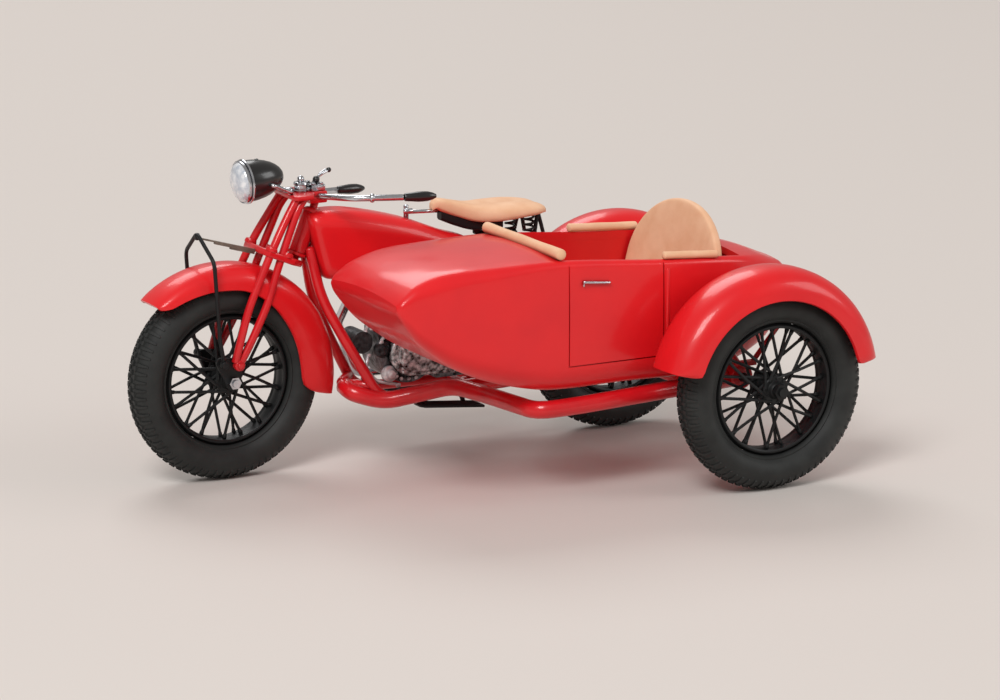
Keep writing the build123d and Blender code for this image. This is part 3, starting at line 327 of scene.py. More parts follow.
# ---- meshes
@dataclass
class Mesh:
    """Points and faces in millimetres, gathered before they become one Blender object.

    Args:
        points: the corners.
        faces: each face's corners, as places in the list of points.
    """

    points: list[Vector] = field(default_factory=list)
    faces: list[tuple[int, ...]] = field(default_factory=list)

    def grid(self, rows: Sequence[Row], close_rows: bool = False, close_across: bool = False,
             cap_ends: bool = False) -> "Mesh":
        """Adds a surface through rows of points.

        Args:
            rows: the rows, each with the same number of points.
            close_rows: joins the last row to the first.
            close_across: joins the last point of each row to its first.
            cap_ends: closes the first and last row with a face each.

        Returns:
            This mesh.
        """
        start, count, width = len(self.points), len(rows), len(rows[0])
        for row in rows:
            self.points.extend(Vector(p) for p in row)
        for i in range(count if close_rows else count - 1):
            for j in range(width if close_across else width - 1):
                a, b = start + i * width, start + (i + 1) % count * width
                k = (j + 1) % width
                self.faces.append((a + j, a + k, b + k, b + j))
        if cap_ends:
            self.faces.append(tuple(start + j for j in range(width)))
            self.faces.append(tuple(start + (count - 1) * width + j for j in reversed(range(width))))
        return self

    def add(self, other: "Mesh", place: Matrix | None = None) -> "Mesh":
        """Adds another mesh, moved by a matrix.

        Args:
            other: the mesh to copy in.
            place: the matrix, or None to leave it where it is.

        Returns:
            This mesh.
        """
        start = len(self.points)
        self.points.extend(place @ p if place else p.copy() for p in other.points)
        self.faces.extend(tuple(start + i for i in face) for face in other.faces)
        return self

    def make(self, name: str, finish: Finish, body: Body, replaces: Iterable[str] = (),
             sharp_deg: float = 38.0) -> bpy.types.Object:
        """Makes the Blender object, dresses it and hangs it on its body.

        Args:
            name: the object's name.
            finish: its surface.
            body: the body that carries it.
            replaces: the CAD nodes that it stands for.
            sharp_deg: edges that turn by more than this stay sharp.

        Returns:
            The object.
        """
        data = bpy.data.meshes.new(name)
        data.from_pydata([TO_ROW @ p for p in self.points], [], self.faces)
        data.validate()
        made = bpy.data.objects.new(name, data)
        bpy.context.scene.collection.objects.link(made)
        outward(made)
        soften(made, sharp_deg)
        made.data.materials.append(finish.build())
        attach(made, body.value)
        nodes = tuple(replaces)
        if nodes:
            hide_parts(*nodes)
        LOG.info("%s: %d faces", name, len(data.polygons))
        return made


def outward(made: bpy.types.Object) -> None:
    """Turns every face of a mesh outward.

    Args:
        made: the object.
    """
    work = bmesh.new()
    work.from_mesh(made.data)
    bmesh.ops.recalc_face_normals(work, faces=work.faces)
    work.to_mesh(made.data)
    work.free()


def soften(made: bpy.types.Object, sharp_deg: float) -> None:
    """Shades a mesh smooth apart from the edges that turn by more than an angle."""
    made.data.shade_smooth()
    made.data.set_sharp_from_angle(angle=radians(sharp_deg))


# ---- shapes
def solid(rows: Sequence[Row]) -> Mesh:
    """Returns: the closed mesh through rings of points, capped at both ends."""
    return Mesh().grid(rows, close_across=True, cap_ends=True)


def polar(radius: float, turn: float, height: float) -> Vector:
    """Returns: the point at a radius, turn and height about the Z axis."""
    return Vector((radius * cos(turn), radius * sin(turn), height))


def arc(centre: Pair, radius: float, start_deg: float, end_deg: float, steps: int) -> list[Pair]:
    """Returns: points along an arc in a plane, both ends included."""
    angles = [radians(start_deg + (end_deg - start_deg) * i / steps) for i in range(steps + 1)]
    return [(centre[0] + radius * cos(a), centre[1] + radius * sin(a)) for a in angles]


def eased(points: Sequence[Pair]) -> Callable[[float], float]:
    """Draws a smooth line through a few points.

    Args:
        points: (where, value) pairs, rising or falling in where.

    Returns:
        A function that gives the value at any place between the ends.
    """
    known = sorted(points)
    slopes = []
    for i in range(len(known)):
        before, after = known[max(i - 1, 0)], known[min(i + 1, len(known) - 1)]
        slopes.append((after[1] - before[1]) / (after[0] - before[0]))

    def value(x: float) -> float:
        """Works out the line's value.

        Args:
            x: the place, held between the ends.

        Returns:
            The value there.
        """
        x = min(max(x, known[0][0]), known[-1][0])
        i = max(k for k in range(len(known) - 1) if known[k][0] <= x or k == 0)
        (x0, y0), (x1, y1) = known[i], known[i + 1]
        t, run = (x - x0) / (x1 - x0), x1 - x0
        return ((2 * t**3 - 3 * t**2 + 1) * y0 + (t**3 - 2 * t**2 + t) * run * slopes[i]
                + (3 * t**2 - 2 * t**3) * y1 + (t**3 - t**2) * run * slopes[i + 1])

    return value


def rounded_line(corners: Sequence[Point], radius: float, steps: int = 6) -> Row:
    """Rounds the corners of a line of straight runs.

    Args:
        corners: the line's points.
        radius: how far from each corner its curve begins.
        steps: the points of each curve.

    Returns:
        The rounded line.
    """
    path = [Vector(c) for c in corners]
    line = [path[0]]
    for before, here, after in zip(path, path[1:], path[2:]):
        reach = min(radius, 0.45 * (here - before).length, 0.45 * (after - here).length)
        start = here.lerp(before, reach / (here - before).length)
        end = here.lerp(after, reach / (after - here).length)
        for i in range(steps + 1):
            t = i / steps
            line.append((1 - t) ** 2 * start + 2 * t * (1 - t) * here + t**2 * end)
    line.append(path[-1])
    return line


def mirrored(line: Path, side: int) -> Path:
    """Returns: a line on the left as it is for side 1, and its mirror image for side -1."""
    return tuple((x, side * y, z) for x, y, z in line)


def tube(line: Row, radius: float | Callable[[float], float], sides: int = 16,
         domed: bool = True) -> Mesh:
    """A round bar along a line.

    Args:
        line: the points that it follows.
        radius: its radius, or a function of the share of the line from 0 to 1.
        sides: the number of flats round it.
        domed: rounds the ends over.

    Returns:
        The bar's mesh.
    """
    size = radius if callable(radius) else (lambda share: radius)
    runs = [(b - a).length for a, b in zip(line, line[1:])]
    total, travelled = sum(runs), 0.0
    ahead = (line[1] - line[0]).normalized()
    side = ahead.orthogonal().normalized()
    rings: list[Ring] = []
    for i, here in enumerate(line):
        forward = (line[min(i + 1, len(line) - 1)] - line[max(i - 1, 0)]).normalized()
        side = (ahead.rotation_difference(forward) @ side).normalized()
        ahead = forward
        rings.append((here, side, forward.cross(side), size(travelled / total)))
        travelled += runs[i] if i < len(runs) else 0.0
    if domed:
        rings = _domed_end(rings, -1) + rings[1:-1] + _domed_end(rings, 1)
    rows = []
    for here, u, v, r in rings:
        turns = [2 * pi * j / sides for j in range(sides)]
        rows.append([here + r * (cos(t) * u + sin(t) * v) for t in turns])
    return solid(rows)


def _domed_end(rings: list[Ring], way: int) -> list[Ring]:
    """Rounds off one end of a bar.

    Args:
        rings: the bar's rings: middle, two directions and radius.
        way: -1 for its start and 1 for its end.

    Returns:
        The rounded end's rings, in the bar's order.
    """
    here, u, v, r = rings[0] if way < 0 else rings[-1]
    forward = u.cross(v).normalized()
    made = []
    for t in (0.0, 30.0, 60.0, 82.0):
        back = 0.45 * r * (1 - sin(radians(t)))
        made.append((here - way * back * forward, u, v, r * cos(radians(t))))
    return list(reversed(made)) if way < 0 else made


def turned(profile: Sequence[Pair], steps: int = 64) -> Mesh:
    """Returns: the ring that a closed (radius, height) outline makes when turned about the Z axis."""
    rows = [[polar(r, 2 * pi * i / steps, a) for r, a in profile] for i in range(steps)]
    return Mesh().grid(rows, close_rows=True, close_across=True)


def lathe(profile: Sequence[Pair], steps: int = 32) -> Mesh:
    """Returns: the closed mesh that an open (radius, height) outline makes when turned about Z."""
    turns = [2 * pi * i / steps for i in range(steps)]
    return solid([[polar(r, t, a) for t in turns] for r, a in profile])


def ball(radius: float, angles: Iterable[float], middle: float = 0.0) -> list[Pair]:
    """Returns: a ball's outline for lathe, at angles in degrees from its equator, about a height."""
    turns = [radians(deg) for deg in angles]
    return [(radius * cos(t), middle + radius * sin(t)) for t in turns]


def block(low: Point, high: Point) -> Mesh:
    """A plain box.

    Args:
        low: its lowest corner.
        high: its highest corner.

    Returns:
        The closed mesh.
    """
    (x0, y0, z0), (x1, y1, z1) = low, high
    rows = [[Vector((x, y, z)) for y, z in ((y0, z0), (y1, z0), (y1, z1), (y0, z1))] for x in (x0, x1)]
    return solid(rows)


def slab(outline: Sequence[Pair], thick: float, edge: float = 0.05, crown: float = 0.0) -> Mesh:
    """A plate that stands on the XY plane, with rounded edges.

    Args:
        outline: the (x, y) points of its plan.
        thick: its height.
        edge: the radius of its rounded edges.
        crown: how much its upper face swells above that height.

    Returns:
        The closed mesh.
    """
    middle = sum((Vector(p) for p in outline), Vector((0.0, 0.0))) / len(outline)

    def ring(inset: float, share: float, z: float) -> Row:
        """Draws the outline in.

        Args:
            inset: by this length,
            share: and then to this share.
            z: the ring's height.

        Returns:
            The ring's points.
        """
        row = []
        for point in outline:
            away = Vector(point) - middle
            place = middle + away * max(1 - inset / max(away.length, 1e-6), 0.0) * share
            row.append(Vector((place.x, place.y, z)))
        return row

    soft = [(edge * (1 - sin(radians(t))), edge * (1 - cos(radians(t))))
            for t in (0, 30, 60, 90)]
    rows = [ring(inset, 1.0, rise) for inset, rise in soft]
    rows += [ring(inset, 1.0, thick - rise) for inset, rise in reversed(soft)]
    if crown > 0.0:
        rows += [ring(edge, share, thick + crown * (1 - share * share))
                 for share in (0.9, 0.75, 0.55, 0.35, 0.15)]
    return solid(rows)


def rod(start: Point, end: Point, radius: float, sides: int = 16) -> Mesh:
    """Returns: a straight round bar with softened ends."""
    return tube([Vector(start), Vector(end)], radius, sides)


def sideways(x: float, y: float, z: float) -> Matrix:
    """Returns: the matrix that lays a plate's plan into X and Z and its thickness along Y."""
    return Matrix(((1, 0, 0, x), (0, 0, 1, y), (0, 1, 0, z), (0, 0, 0, 1)))


def plate(rear: float, front: float, half_w: float) -> list[Pair]:
    """Returns: the four corners of a plate that lies along the machine."""
    return [(rear, -half_w), (front, -half_w), (front, half_w), (rear, half_w)]


def ring_of(count: int, radius: float, start_deg: float = 0.0) -> list[Pair]:
    """Returns: evenly spaced points on a circle about the origin."""
    return [(radius * cos(t), radius * sin(t))
            for t in (radians(start_deg) + 2 * pi * i / count for i in range(count))]


def onto(origin: Vector, along: Vector) -> Matrix:
    """Returns: the matrix that takes the Z axis to a place and direction."""
    return Matrix.Translation(origin) @ along.to_track_quat("Z", "Y").to_matrix().to_4x4()


def dress(finish: Finish, *nodes: str, sharp_deg: float = 30.0, edge_mm: float = 0.0) -> None:
    """Gives CAD nodes a finish and smooth shading.

    Args:
        finish: their surface.
        nodes: the nodes' names.
        sharp_deg: edges that turn by more than this stay sharp.
        edge_mm: rounds their sharp edges by this much.
    """
    for name in nodes:
        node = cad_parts[name]
        node.data.materials.clear()
        node.data.materials.append(finish.build())
        if edge_mm > 0.0:
            bevel = node.modifiers.new("edge", "BEVEL")
            bevel.width, bevel.segments = edge_mm * MM, 2
            bevel.limit_method, bevel.angle_limit = "ANGLE", radians(sharp_deg)
        soften(node, sharp_deg)
        LOG.info("%s wears %s", name, finish.name)


# ---- camera, floor and light
@dataclass(frozen=True)
class CameraSpec:
    """Where the camera stands and how it looks.

    Args:
        lens_mm: focal length on a sensor as wide as sensor_mm.
        place_mm: its place in the row frame.
        yaw_deg: turn from the -Y direction towards -X.
        pitch_deg: how far it looks down.
        roll_deg: turn about its own view axis.
        sensor_mm: the sensor's width.
    """

    lens_mm: float = 162.0
    place_mm: Point = (153.629, 285.903, 85.382)
    yaw_deg: float = 28.354
    pitch_deg: float = 13.150
    roll_deg: float = -0.1
    sensor_mm: float = 36.0

    def forward(self) -> Vector:
        """Returns: the unit vector along the view."""
        yaw, pitch = radians(self.yaw_deg), radians(self.pitch_deg)
        return Vector((-sin(yaw) * cos(pitch), -cos(yaw) * cos(pitch), -sin(pitch)))

    def build(self) -> bpy.types.Object:
        """Makes the scene's camera.

        Returns:
            The camera object.
        """
        data = bpy.data.cameras.new("camera")
        data.lens, data.sensor_width, data.sensor_fit = self.lens_mm, self.sensor_mm, "HORIZONTAL"
        data.clip_start, data.clip_end = 0.01, 20.0
        camera = bpy.data.objects.new("camera", data)
        bpy.context.scene.collection.objects.link(camera)
        camera.location = Vector(self.place_mm) * MM
        camera.rotation_mode = "QUATERNION"
        roll = Quaternion((0.0, 0.0, 1.0), radians(self.roll_deg))
        camera.rotation_quaternion = self.forward().to_track_quat("-Z", "Y") @ roll
        bpy.context.scene.camera = camera
        return camera


@dataclass(frozen=True)
class SoftBox:
    """A square area lamp that looks at the model.

    Args:
        name: the lamp's name.
        place_mm: its place in the row frame.
        side_mm: the length of its sides.
        watts: its power.
    """

    name: str
    place_mm: Point
    side_mm: float
    watts: float

    def build(self, target: Vector) -> bpy.types.Object:
        """Makes the lamp.

        Args:
            target: the place that it looks at, in metres.

        Returns:
            The lamp object.
        """
        data = bpy.data.lights.new(self.name, "AREA")
        data.shape, data.size, data.energy = "SQUARE", self.side_mm * MM, self.watts
        lamp = bpy.data.objects.new(self.name, data)
        bpy.context.scene.collection.objects.link(lamp)
        lamp.location = Vector(self.place_mm) * MM
        lamp.rotation_mode = "QUATERNION"
        lamp.rotation_quaternion = (target - lamp.location).to_track_quat("-Z", "Y")
        return lamp


@dataclass(frozen=True)
class Studio:
    """The plain pale floor, the soft lamps and the even surround.

    Args:
        floor_hex: the floor's colour.
        surround_hex: the colour of the world all round.
        surround_level: its strength.
        floor_side_m: the floor's side.
        floor_roughness: how matt it is.
        lamps: the soft boxes.
    """

    floor_hex: str = "#DAD2CC"
    surround_hex: str = "#E9E4E0"
    surround_level: float = 0.4
    floor_side_m: float = 8.0
    floor_roughness: float = 0.85
    lamps: tuple[SoftBox, ...] = (
        SoftBox("key_lamp", (330.0, 300.0, 460.0), 240.0, 2.3),
        SoftBox("side_lamp", (-460.0, 330.0, 260.0), 260.0, 0.75),
        SoftBox("back_lamp", (-80.0, -380.0, 420.0), 300.0, 1.1),
    )

    def build(self) -> None:
        """Makes the floor, the lamps and the world."""
        half = self.floor_side_m / 2
        data = bpy.data.meshes.new("floor")
        data.from_pydata([(-half, -half, 0), (half, -half, 0), (half, half, 0), (-half, half, 0)], [],
                         [(0, 1, 2, 3)])
        floor = bpy.data.objects.new("floor", data)
        bpy.context.scene.collection.objects.link(floor)
        material = bpy.data.materials.new("pale_floor")
        material.use_nodes = True
        shader = material.node_tree.nodes["Principled BSDF"]
        shader.inputs["Base Color"].default_value = linear(self.floor_hex)
        shader.inputs["Roughness"].default_value = self.floor_roughness
        data.materials.append(material)
        middle = (CAD_BOX[0] + CAD_BOX[1]) / 2
        for lamp in self.lamps:
            lamp.build(middle)
        world = bpy.data.worlds.new("surround")
        world.use_nodes = True
        back = world.node_tree.nodes["Background"]
        back.inputs["Color"].default_value = linear(self.surround_hex)
        back.inputs["Strength"].default_value = self.surround_level
        bpy.context.scene.world = world
        bpy.context.scene.view_settings.view_transform = "Standard"


# ---- wheels
@dataclass(frozen=True)
class Wheel:
    """A laced wheel with a block-tread tyre, sized from its CAD nodes.

    Args:
        name: the nodes' prefix.
        body: the body that turns.
        spokes_per_set: spokes on one flange that lean one way.
        lead_deg: how far round the rim a spoke runs from its place on the flange.
        spoke_r: a spoke's radius.
        pitches: tread blocks round the tyre.
        tread_depth: how high the blocks stand.
        block_rows: (y, share of a pitch that the row is set on by) of each row of blocks.
        block_half_w: half a block's width.
        block_share: the share of a pitch that a block fills.
        cleat_line: the y of each step of a shoulder cleat, from the crown outward.
        crown_line: (y, how far the tread lies below the tyre's outside radius).
        rim_inner: the opening that the spokes cross.
        rim_outer: where the tyre's bead sits.
        root_r: the circle on a flange where spokes start.
        nipple: (length, radius) of the nipple on a spoke.
        waver_deg: how far a spoke may miss its even place, for a hand-laced look.
        waver: how far a spoke's middle may bend.
        flange_y: middle of each hub flange.
        sprocket_r: the chain sprocket's radius, or 0 for none.
        sprocket_y: the sprocket's middle.
        teeth: the sprocket's teeth.
    """

    name: str
    body: Body
    spokes_per_set: int = 9
    lead_deg: float = 66.0
    spoke_r: float = 0.118
    pitches: int = 72
    tread_depth: float = 0.1
    block_rows: Line = ((0.0, 0.0), (0.42, 0.5), (-0.42, 0.5))
    block_half_w: float = 0.17
    block_share: float = 0.6
    cleat_line: tuple[float, ...] = (0.68, 0.9, 1.12, 1.3)
    crown_line: Line = (
        (0.0, 0.0), (0.4, 0.06), (0.78, 0.22), (1.02, 0.36), (1.25, 0.62), (1.42, 1.0))
    rim_inner: float = 4.5
    rim_outer: float = 4.95
    root_r: float = 0.86
    nipple: Pair = (0.42, 0.18)
    waver_deg: float = 3.5
    waver: float = 0.07
    flange_y: float = 0.85
    sprocket_r: float = 0.0
    sprocket_y: float = -1.85
    teeth: int = 24

    def place(self) -> Matrix:
        """Returns: the matrix from the wheel's own frame, axle along Z, to the working frame."""
        axle = middle_mm(self.name + "_tyre") - DATUM
        return Matrix.Translation(axle) @ Matrix.Rotation(pi / 2, 4, "X")

    def tyre_size(self) -> Pair:
        """Returns: the tyre's outside radius and half its width, in millimetres."""
        low, high = box_mm(self.name + "_tyre")
        return (high.x - low.x) / 2, (high.y - low.y) / 2

    def carcass(self) -> Mesh:
        """The smooth rounded tyre under its tread.

        Returns:
            Its mesh, with the axle along Z.
        """
        outer, half = self.tyre_size()
        bead = ((0.02, 0.62), (0.06, 0.86), (0.2, 1.04), (0.3, 1.02), (0.42, 1.16))
        side = [(self.rim_outer + rise, y) for rise, y in bead]
        side += [(5.6, half - 0.13), (5.9, half - 0.03), (6.2, half)]
        side += [(outer - drop - self.tread_depth, y - 0.02 * y)
                 for y, drop in reversed(self.crown_line) if y > 0]
        return turned(side + [(r, -a) for r, a in reversed(side)], 96)

    def tread(self) -> Mesh:
        """Rows of raised blocks on the crown, and cleats down the shoulders.

        Returns:
            Their mesh, with the axle along Z.
        """
        outer, _ = self.tyre_size()
        drop = eased(self.crown_line)
        made = Mesh()
        step = 2 * pi / self.pitches
        for i in range(self.pitches):
            for across, phase in self.block_rows:
                top = outer - 0.01 - drop(abs(across) + 0.5 * self.block_half_w)
                made.add(self._tread_block((i + phase) * step, self.block_share * step, across, top))
            for side in (1, -1):
                made.add(self._cleat(i * step, 0.5 * step, side, outer))
        return made

    def _tread_block(self, turn: float, long: float, across: float, top: float) -> Mesh:
        """One block of the crown, standing on the carcass.

        Args:
            turn: its place round the wheel.
            long: its length, as an angle.
            across: its middle's y.
            top: its top's radius.

        Returns:
            The closed mesh.
        """
        foot = top - self.tread_depth - 0.08
        rows = []
        for a in (-0.5, 0.5):
            row = []
            for r, share, y in ((foot, 1.0, -1), (top, 0.84, -0.84), (top, 0.84, 0.84), (foot, 1.0, 1)):
                t = turn + a * long * share
                row.append(polar(r, t, across + y * self.block_half_w))
            rows.append(row)
        return solid(rows)

    def _cleat(self, turn: float, long: float, side: int, outer: float) -> Mesh:
        """One cleat, from the crown's edge down the shoulder.

        Args:
            turn: its place round the wheel.
            long: its length, as an angle.
            side: 1 or -1.
            outer: the tyre's outside radius.

        Returns:
            The closed mesh.
        """
        drop = eased(self.crown_line)
        rows = []
        for k, y in enumerate(self.cleat_line):
            top = outer - drop(y) - 0.01
            width = long * (1.0 - 0.16 * k)
            row = []
            for r, a in ((top - 0.2, -0.5), (top, -0.4), (top, 0.4), (top - 0.2, 0.5)):
                t, tuck = turn + a * width, 0.06 if r < top else 0.0
                row.append(polar(r, t, side * (y - tuck)))
            rows.append(row)
        return solid(rows)

    def rim(self) -> Mesh:
        """The rolled rim.

        Returns:
            Its mesh.
        """
        well = ((0.0, 0.0), (0.02, 0.28), (0.1, 0.5), (0.06, 0.62))
        side = [(self.rim_inner + rise, y) for rise, y in well]
        for t in (radians(deg) for deg in (200, 150, 100, 50, 0)):
            side.append((self.rim_inner + 0.18 + 0.14 * cos(t), 0.74 + 0.12 * sin(t)))
        side += [(self.rim_outer, 0.58), (self.rim_outer - 0.06, 0.3), (self.rim_outer - 0.1, 0.0)]
        return turned(side + [(r, -a) for r, a in reversed(side) if a > 0], 96)

    def spokes(self) -> Mesh:
        """Four sets of crossing spokes with their nipples.

        Returns:
            Their mesh.
        """
        rng = random.Random(self.name)
        made = Mesh()
        for side in (1, -1):
            for lead in (1, -1):
                across = side * (self.flange_y + lead * 0.13)
                for i in range(self.spokes_per_set):
                    turn = 2 * pi * (i + (side + 1) / 4 + (lead + 1) / 8) / self.spokes_per_set
                    miss = rng.uniform(-self.waver_deg, self.waver_deg)
                    ahead = turn + lead * radians(self.lead_deg + miss)
                    root = polar(self.root_r, turn, across)
                    foot = polar(self.rim_inner + 0.05, ahead, side * (0.26 + lead * 0.1))
                    bend = [rng.uniform(-self.waver, self.waver) for _ in range(2)]
                    middle = root.lerp(foot, 0.5) + Vector((*bend, 0))
                    made.add(tube([root, middle, foot], self.spoke_r, 8, domed=False))
                    tip = foot + self.nipple[0] * (root - foot).normalized()
                    made.add(tube([foot, tip], lambda s: self.nipple[1] - 0.04 * s, 8))
        return made

    def hub(self) -> Mesh:
        """The spool-shaped hub with its flanges and bearing caps.

        Returns:
            Its mesh.
        """
        inner, outer = self.flange_y - 0.16, self.flange_y + 0.16
        end = self.tyre_size()[1] - 0.15
        half = [(0.33, end), (0.52, end), (0.6, end - 0.08), (0.62, outer + 0.12), (0.7, outer),
                (0.98, outer), (1.04, outer - 0.06), (1.04, inner + 0.06), (0.98, inner),
                (0.66, inner - 0.02), (0.52, inner - 0.3)]
        return turned(half + [(r, -a) for r, a in reversed(half)], 40)

    def sprocket(self) -> Mesh:
        """The toothed chain wheel and the ring that carries it on the right flange.

        Returns:
            Their mesh.
        """
        root_r, top_r = self.sprocket_r - 0.16, self.sprocket_r
        outline = []
        for i in range(self.teeth):
            for share, r in ((0.0, root_r), (0.3, root_r), (0.42, top_r), (0.68, top_r)):
                t = 2 * pi * (i + share) / self.teeth
                outline.append((r * cos(t), r * sin(t)))
        side = -self.sprocket_y
        wheel = slab(outline, 0.3, 0.03)
        carrier = turned([(0.36, self.flange_y), (0.78, self.flange_y), (0.78, side), (0.36, side)], 32)
        return Mesh().add(wheel, Matrix.Translation((0.0, 0.0, side - 0.15))).add(carrier)

    def build(self) -> None:
        """Makes the wheel's pieces and hangs them on the turning body."""
        place = self.place()
        Mesh().add(self.carcass(), place).add(self.tread(), place).make(
            self.name + "_block_tread_tyre", TYRE_RUBBER, self.body, [self.name + "_tyre"], sharp_deg=30)
        laced = Mesh().add(self.rim(), place).add(self.spokes(), place).add(self.hub(), place)
        if self.sprocket_r > 0.0:
            laced.add(self.sprocket(), place)
        laced.make(self.name + "_laced_wheel", BLACK_SATIN, self.body,
                   [self.name + "_wire_wheel"], sharp_deg=40)


# ---- fenders, tank and the sidecar's body
@dataclass(frozen=True)
class Fender:
    """A domed fender with rolled lips, swept round an axle.

    Args:
        node: the CAD node that it stands for.
        centre: the sweep's (x, z) and the fender's middle y.
        half_w: half its width.
        stations: (angle from the front in degrees, crown radius, lip radius), front to back.
        square: 2 for a round section, more for flatter sides.
        nose_deg: the stretch over which each end is rounded off.
        wall: how thick the metal is.
        lip_r: how far the rolled lip reaches below the skin.
        across: the steps round half a section.
        end_share: the (depth, width) that are left at the very ends, as shares.
    """

    node: str
    centre: Point
    half_w: float
    stations: tuple[tuple[float, float, float], ...]
    square: float = 2.3
    nose_deg: float = 7.0
    wall: float = 0.32
    lip_r: float = 0.17
    across: int = 22
    end_share: Pair = (0.45, 0.6)

    def _section(self, crown: float, lip: float, half: float) -> list[Pair]:
        """One closed section: outside, rolled lip, inside and rolled lip.

        Args:
            crown: the crown's radius.
            lip: the lips' radius.
            half: half its width.

        Returns:
            Its (radius, y) points.
        """
        outer, inner = [], []
        for i in range(self.across + 1):
            t = pi * i / self.across
            c, s = cos(t), sin(t)
            wide, rise = copysign(abs(c) ** (2 / self.square), c), abs(s) ** (2 / self.square)
            outer.append((lip + (crown - lip) * rise, half * wide))
            inner.append((lip + (crown - self.wall - lip) * rise, (half - self.wall) * wide))
        bead = []
        for t in (radians(deg) for deg in (30, 75, 120, 150)):
            y = -half + self.wall / 2 - (self.wall / 2 + 0.05) * cos(t)
            bead.append((lip - self.lip_r * sin(t), y))
        other = [(r, -y) for r, y in reversed(bead)]
        return outer + bead + list(reversed(inner)) + other

    def mesh(self) -> Mesh:
        """Sweeps the section round the axle and rounds off both ends.

        Returns:
            The closed mesh.
        """
        crown = eased([(a, c) for a, c, _ in self.stations])
        lip = eased([(a, r) for a, _, r in self.stations])
        start, end = self.stations[0][0], self.stations[-1][0]
        steps = round((end - start) / 2.5)
        nose = [start + self.nose_deg * (1 - cos(radians(t))) for t in (6, 20, 36, 52, 68)]
        plain = [start + (end - start) * i / steps for i in range(steps + 1)]
        angles = nose + [a for a in plain if start + self.nose_deg < a < end - self.nose_deg]
        angles += [end - (a - start) for a in reversed(nose)]
        x, y, z = self.centre
        rows = []
        for a in angles:
            edge = min(a - start, end - a, self.nose_deg) / self.nose_deg
            full = sqrt(max(1 - (1 - edge) ** 2, 0.0))
            share = self.end_share[0] + (1 - self.end_share[0]) * full
            top = crown(a)
            low = top - (top - lip(a)) * share
            half = self.half_w * (self.end_share[1] + (1 - self.end_share[1]) * share)
            turn = radians(a)
            rows.append([Vector((x + r * cos(turn), y + w, z + r * sin(turn)))
                         for r, w in self._section(top, low, half)])
        return solid(rows)

    def build(self, body: Body) -> None:
        """Makes the fender and hangs it on a body."""
        self.mesh().make("domed_" + self.node, RED_ENAMEL, body, [self.node], sharp_deg=50)


@dataclass(frozen=True)
class Tank:
    """The long fuel tank, rounded over and drawn out to the rear.

    Args:
        stations: (x, half width, bottom z, top z, corner radius), front to back.
        lean: (millimetres back for each one down, at the front; length over which it dies away).
        lean_top: the height that the lean leaves in place.
        cap_r: a filler cap's radius.
        caps: the places of the two caps.
    """

    stations: tuple[tuple[float, float, float, float, float], ...] = (
        (-6.62, 0.9, 15.2, 18.6, 0.7), (-6.8, 1.35, 14.55, 19.2, 0.9), (-7.5, 1.65, 14.3, 19.42, 1.0),
        (-10.2, 1.98, 14.15, 19.33, 1.2), (-14.8, 2.02, 14.3, 18.22, 1.15),
        (-18.2, 1.6, 14.6, 16.9, 0.85), (-19.8, 1.2, 14.8, 16.4, 0.6), (-20.35, 0.7, 15.1, 16.1, 0.42))
    lean: Pair = (0.26, 4.0)
    lean_top: float = 19.4
    cap_r: float = 0.62
    caps: Path = ((-9.4, 0.75, 19.2), (-12.6, -0.7, 18.65))

    def lean_at(self, x: float) -> float:
        """Returns: how far back the section at x leans for each millimetre downward."""
        return self.lean[0] * max(0.0, 1 - (self.stations[0][0] - x) / self.lean[1])

    def shell(self) -> Mesh:
        """The tank's skin.

        Returns:
            The closed mesh.
        """
        columns = [eased([(s[0], s[k]) for s in self.stations]) for k in range(1, 5)]
        first, last = self.stations[0][0], self.stations[-1][0]
        steps = 44
        rows = []
        for i in range(steps + 1):
            x = first + (last - first) * (0.5 - 0.5 * cos(pi * i / steps))
            half, low, top, corner = (c(x) for c in columns)
            rows.append([Vector((x - self.lean_at(x) * (self.lean_top - z), y, z))
                         for y, z in rounded_box(half, low, top, corner, crown=0.12)])
        return solid(rows)

    def build(self) -> None:
        """Makes the tank and its two filler caps."""
        self.shell().make("rounded_fuel_tank", RED_ENAMEL, Body.MACHINE, ["fuel_tank"], sharp_deg=50)
        caps = Mesh()
        cap = lathe([(0.0, -0.35), (self.cap_r, -0.3), (self.cap_r, 0.08), (0.5, 0.16), (0.3, 0.2),
                     (0.0, 0.22)], 24)
        for place in self.caps:
            caps.add(cap, Matrix.Translation(place) @ Matrix.Rotation(radians(-8), 4, "Y"))
        caps.make("tank_filler_caps", RED_ENAMEL, Body.MACHINE)


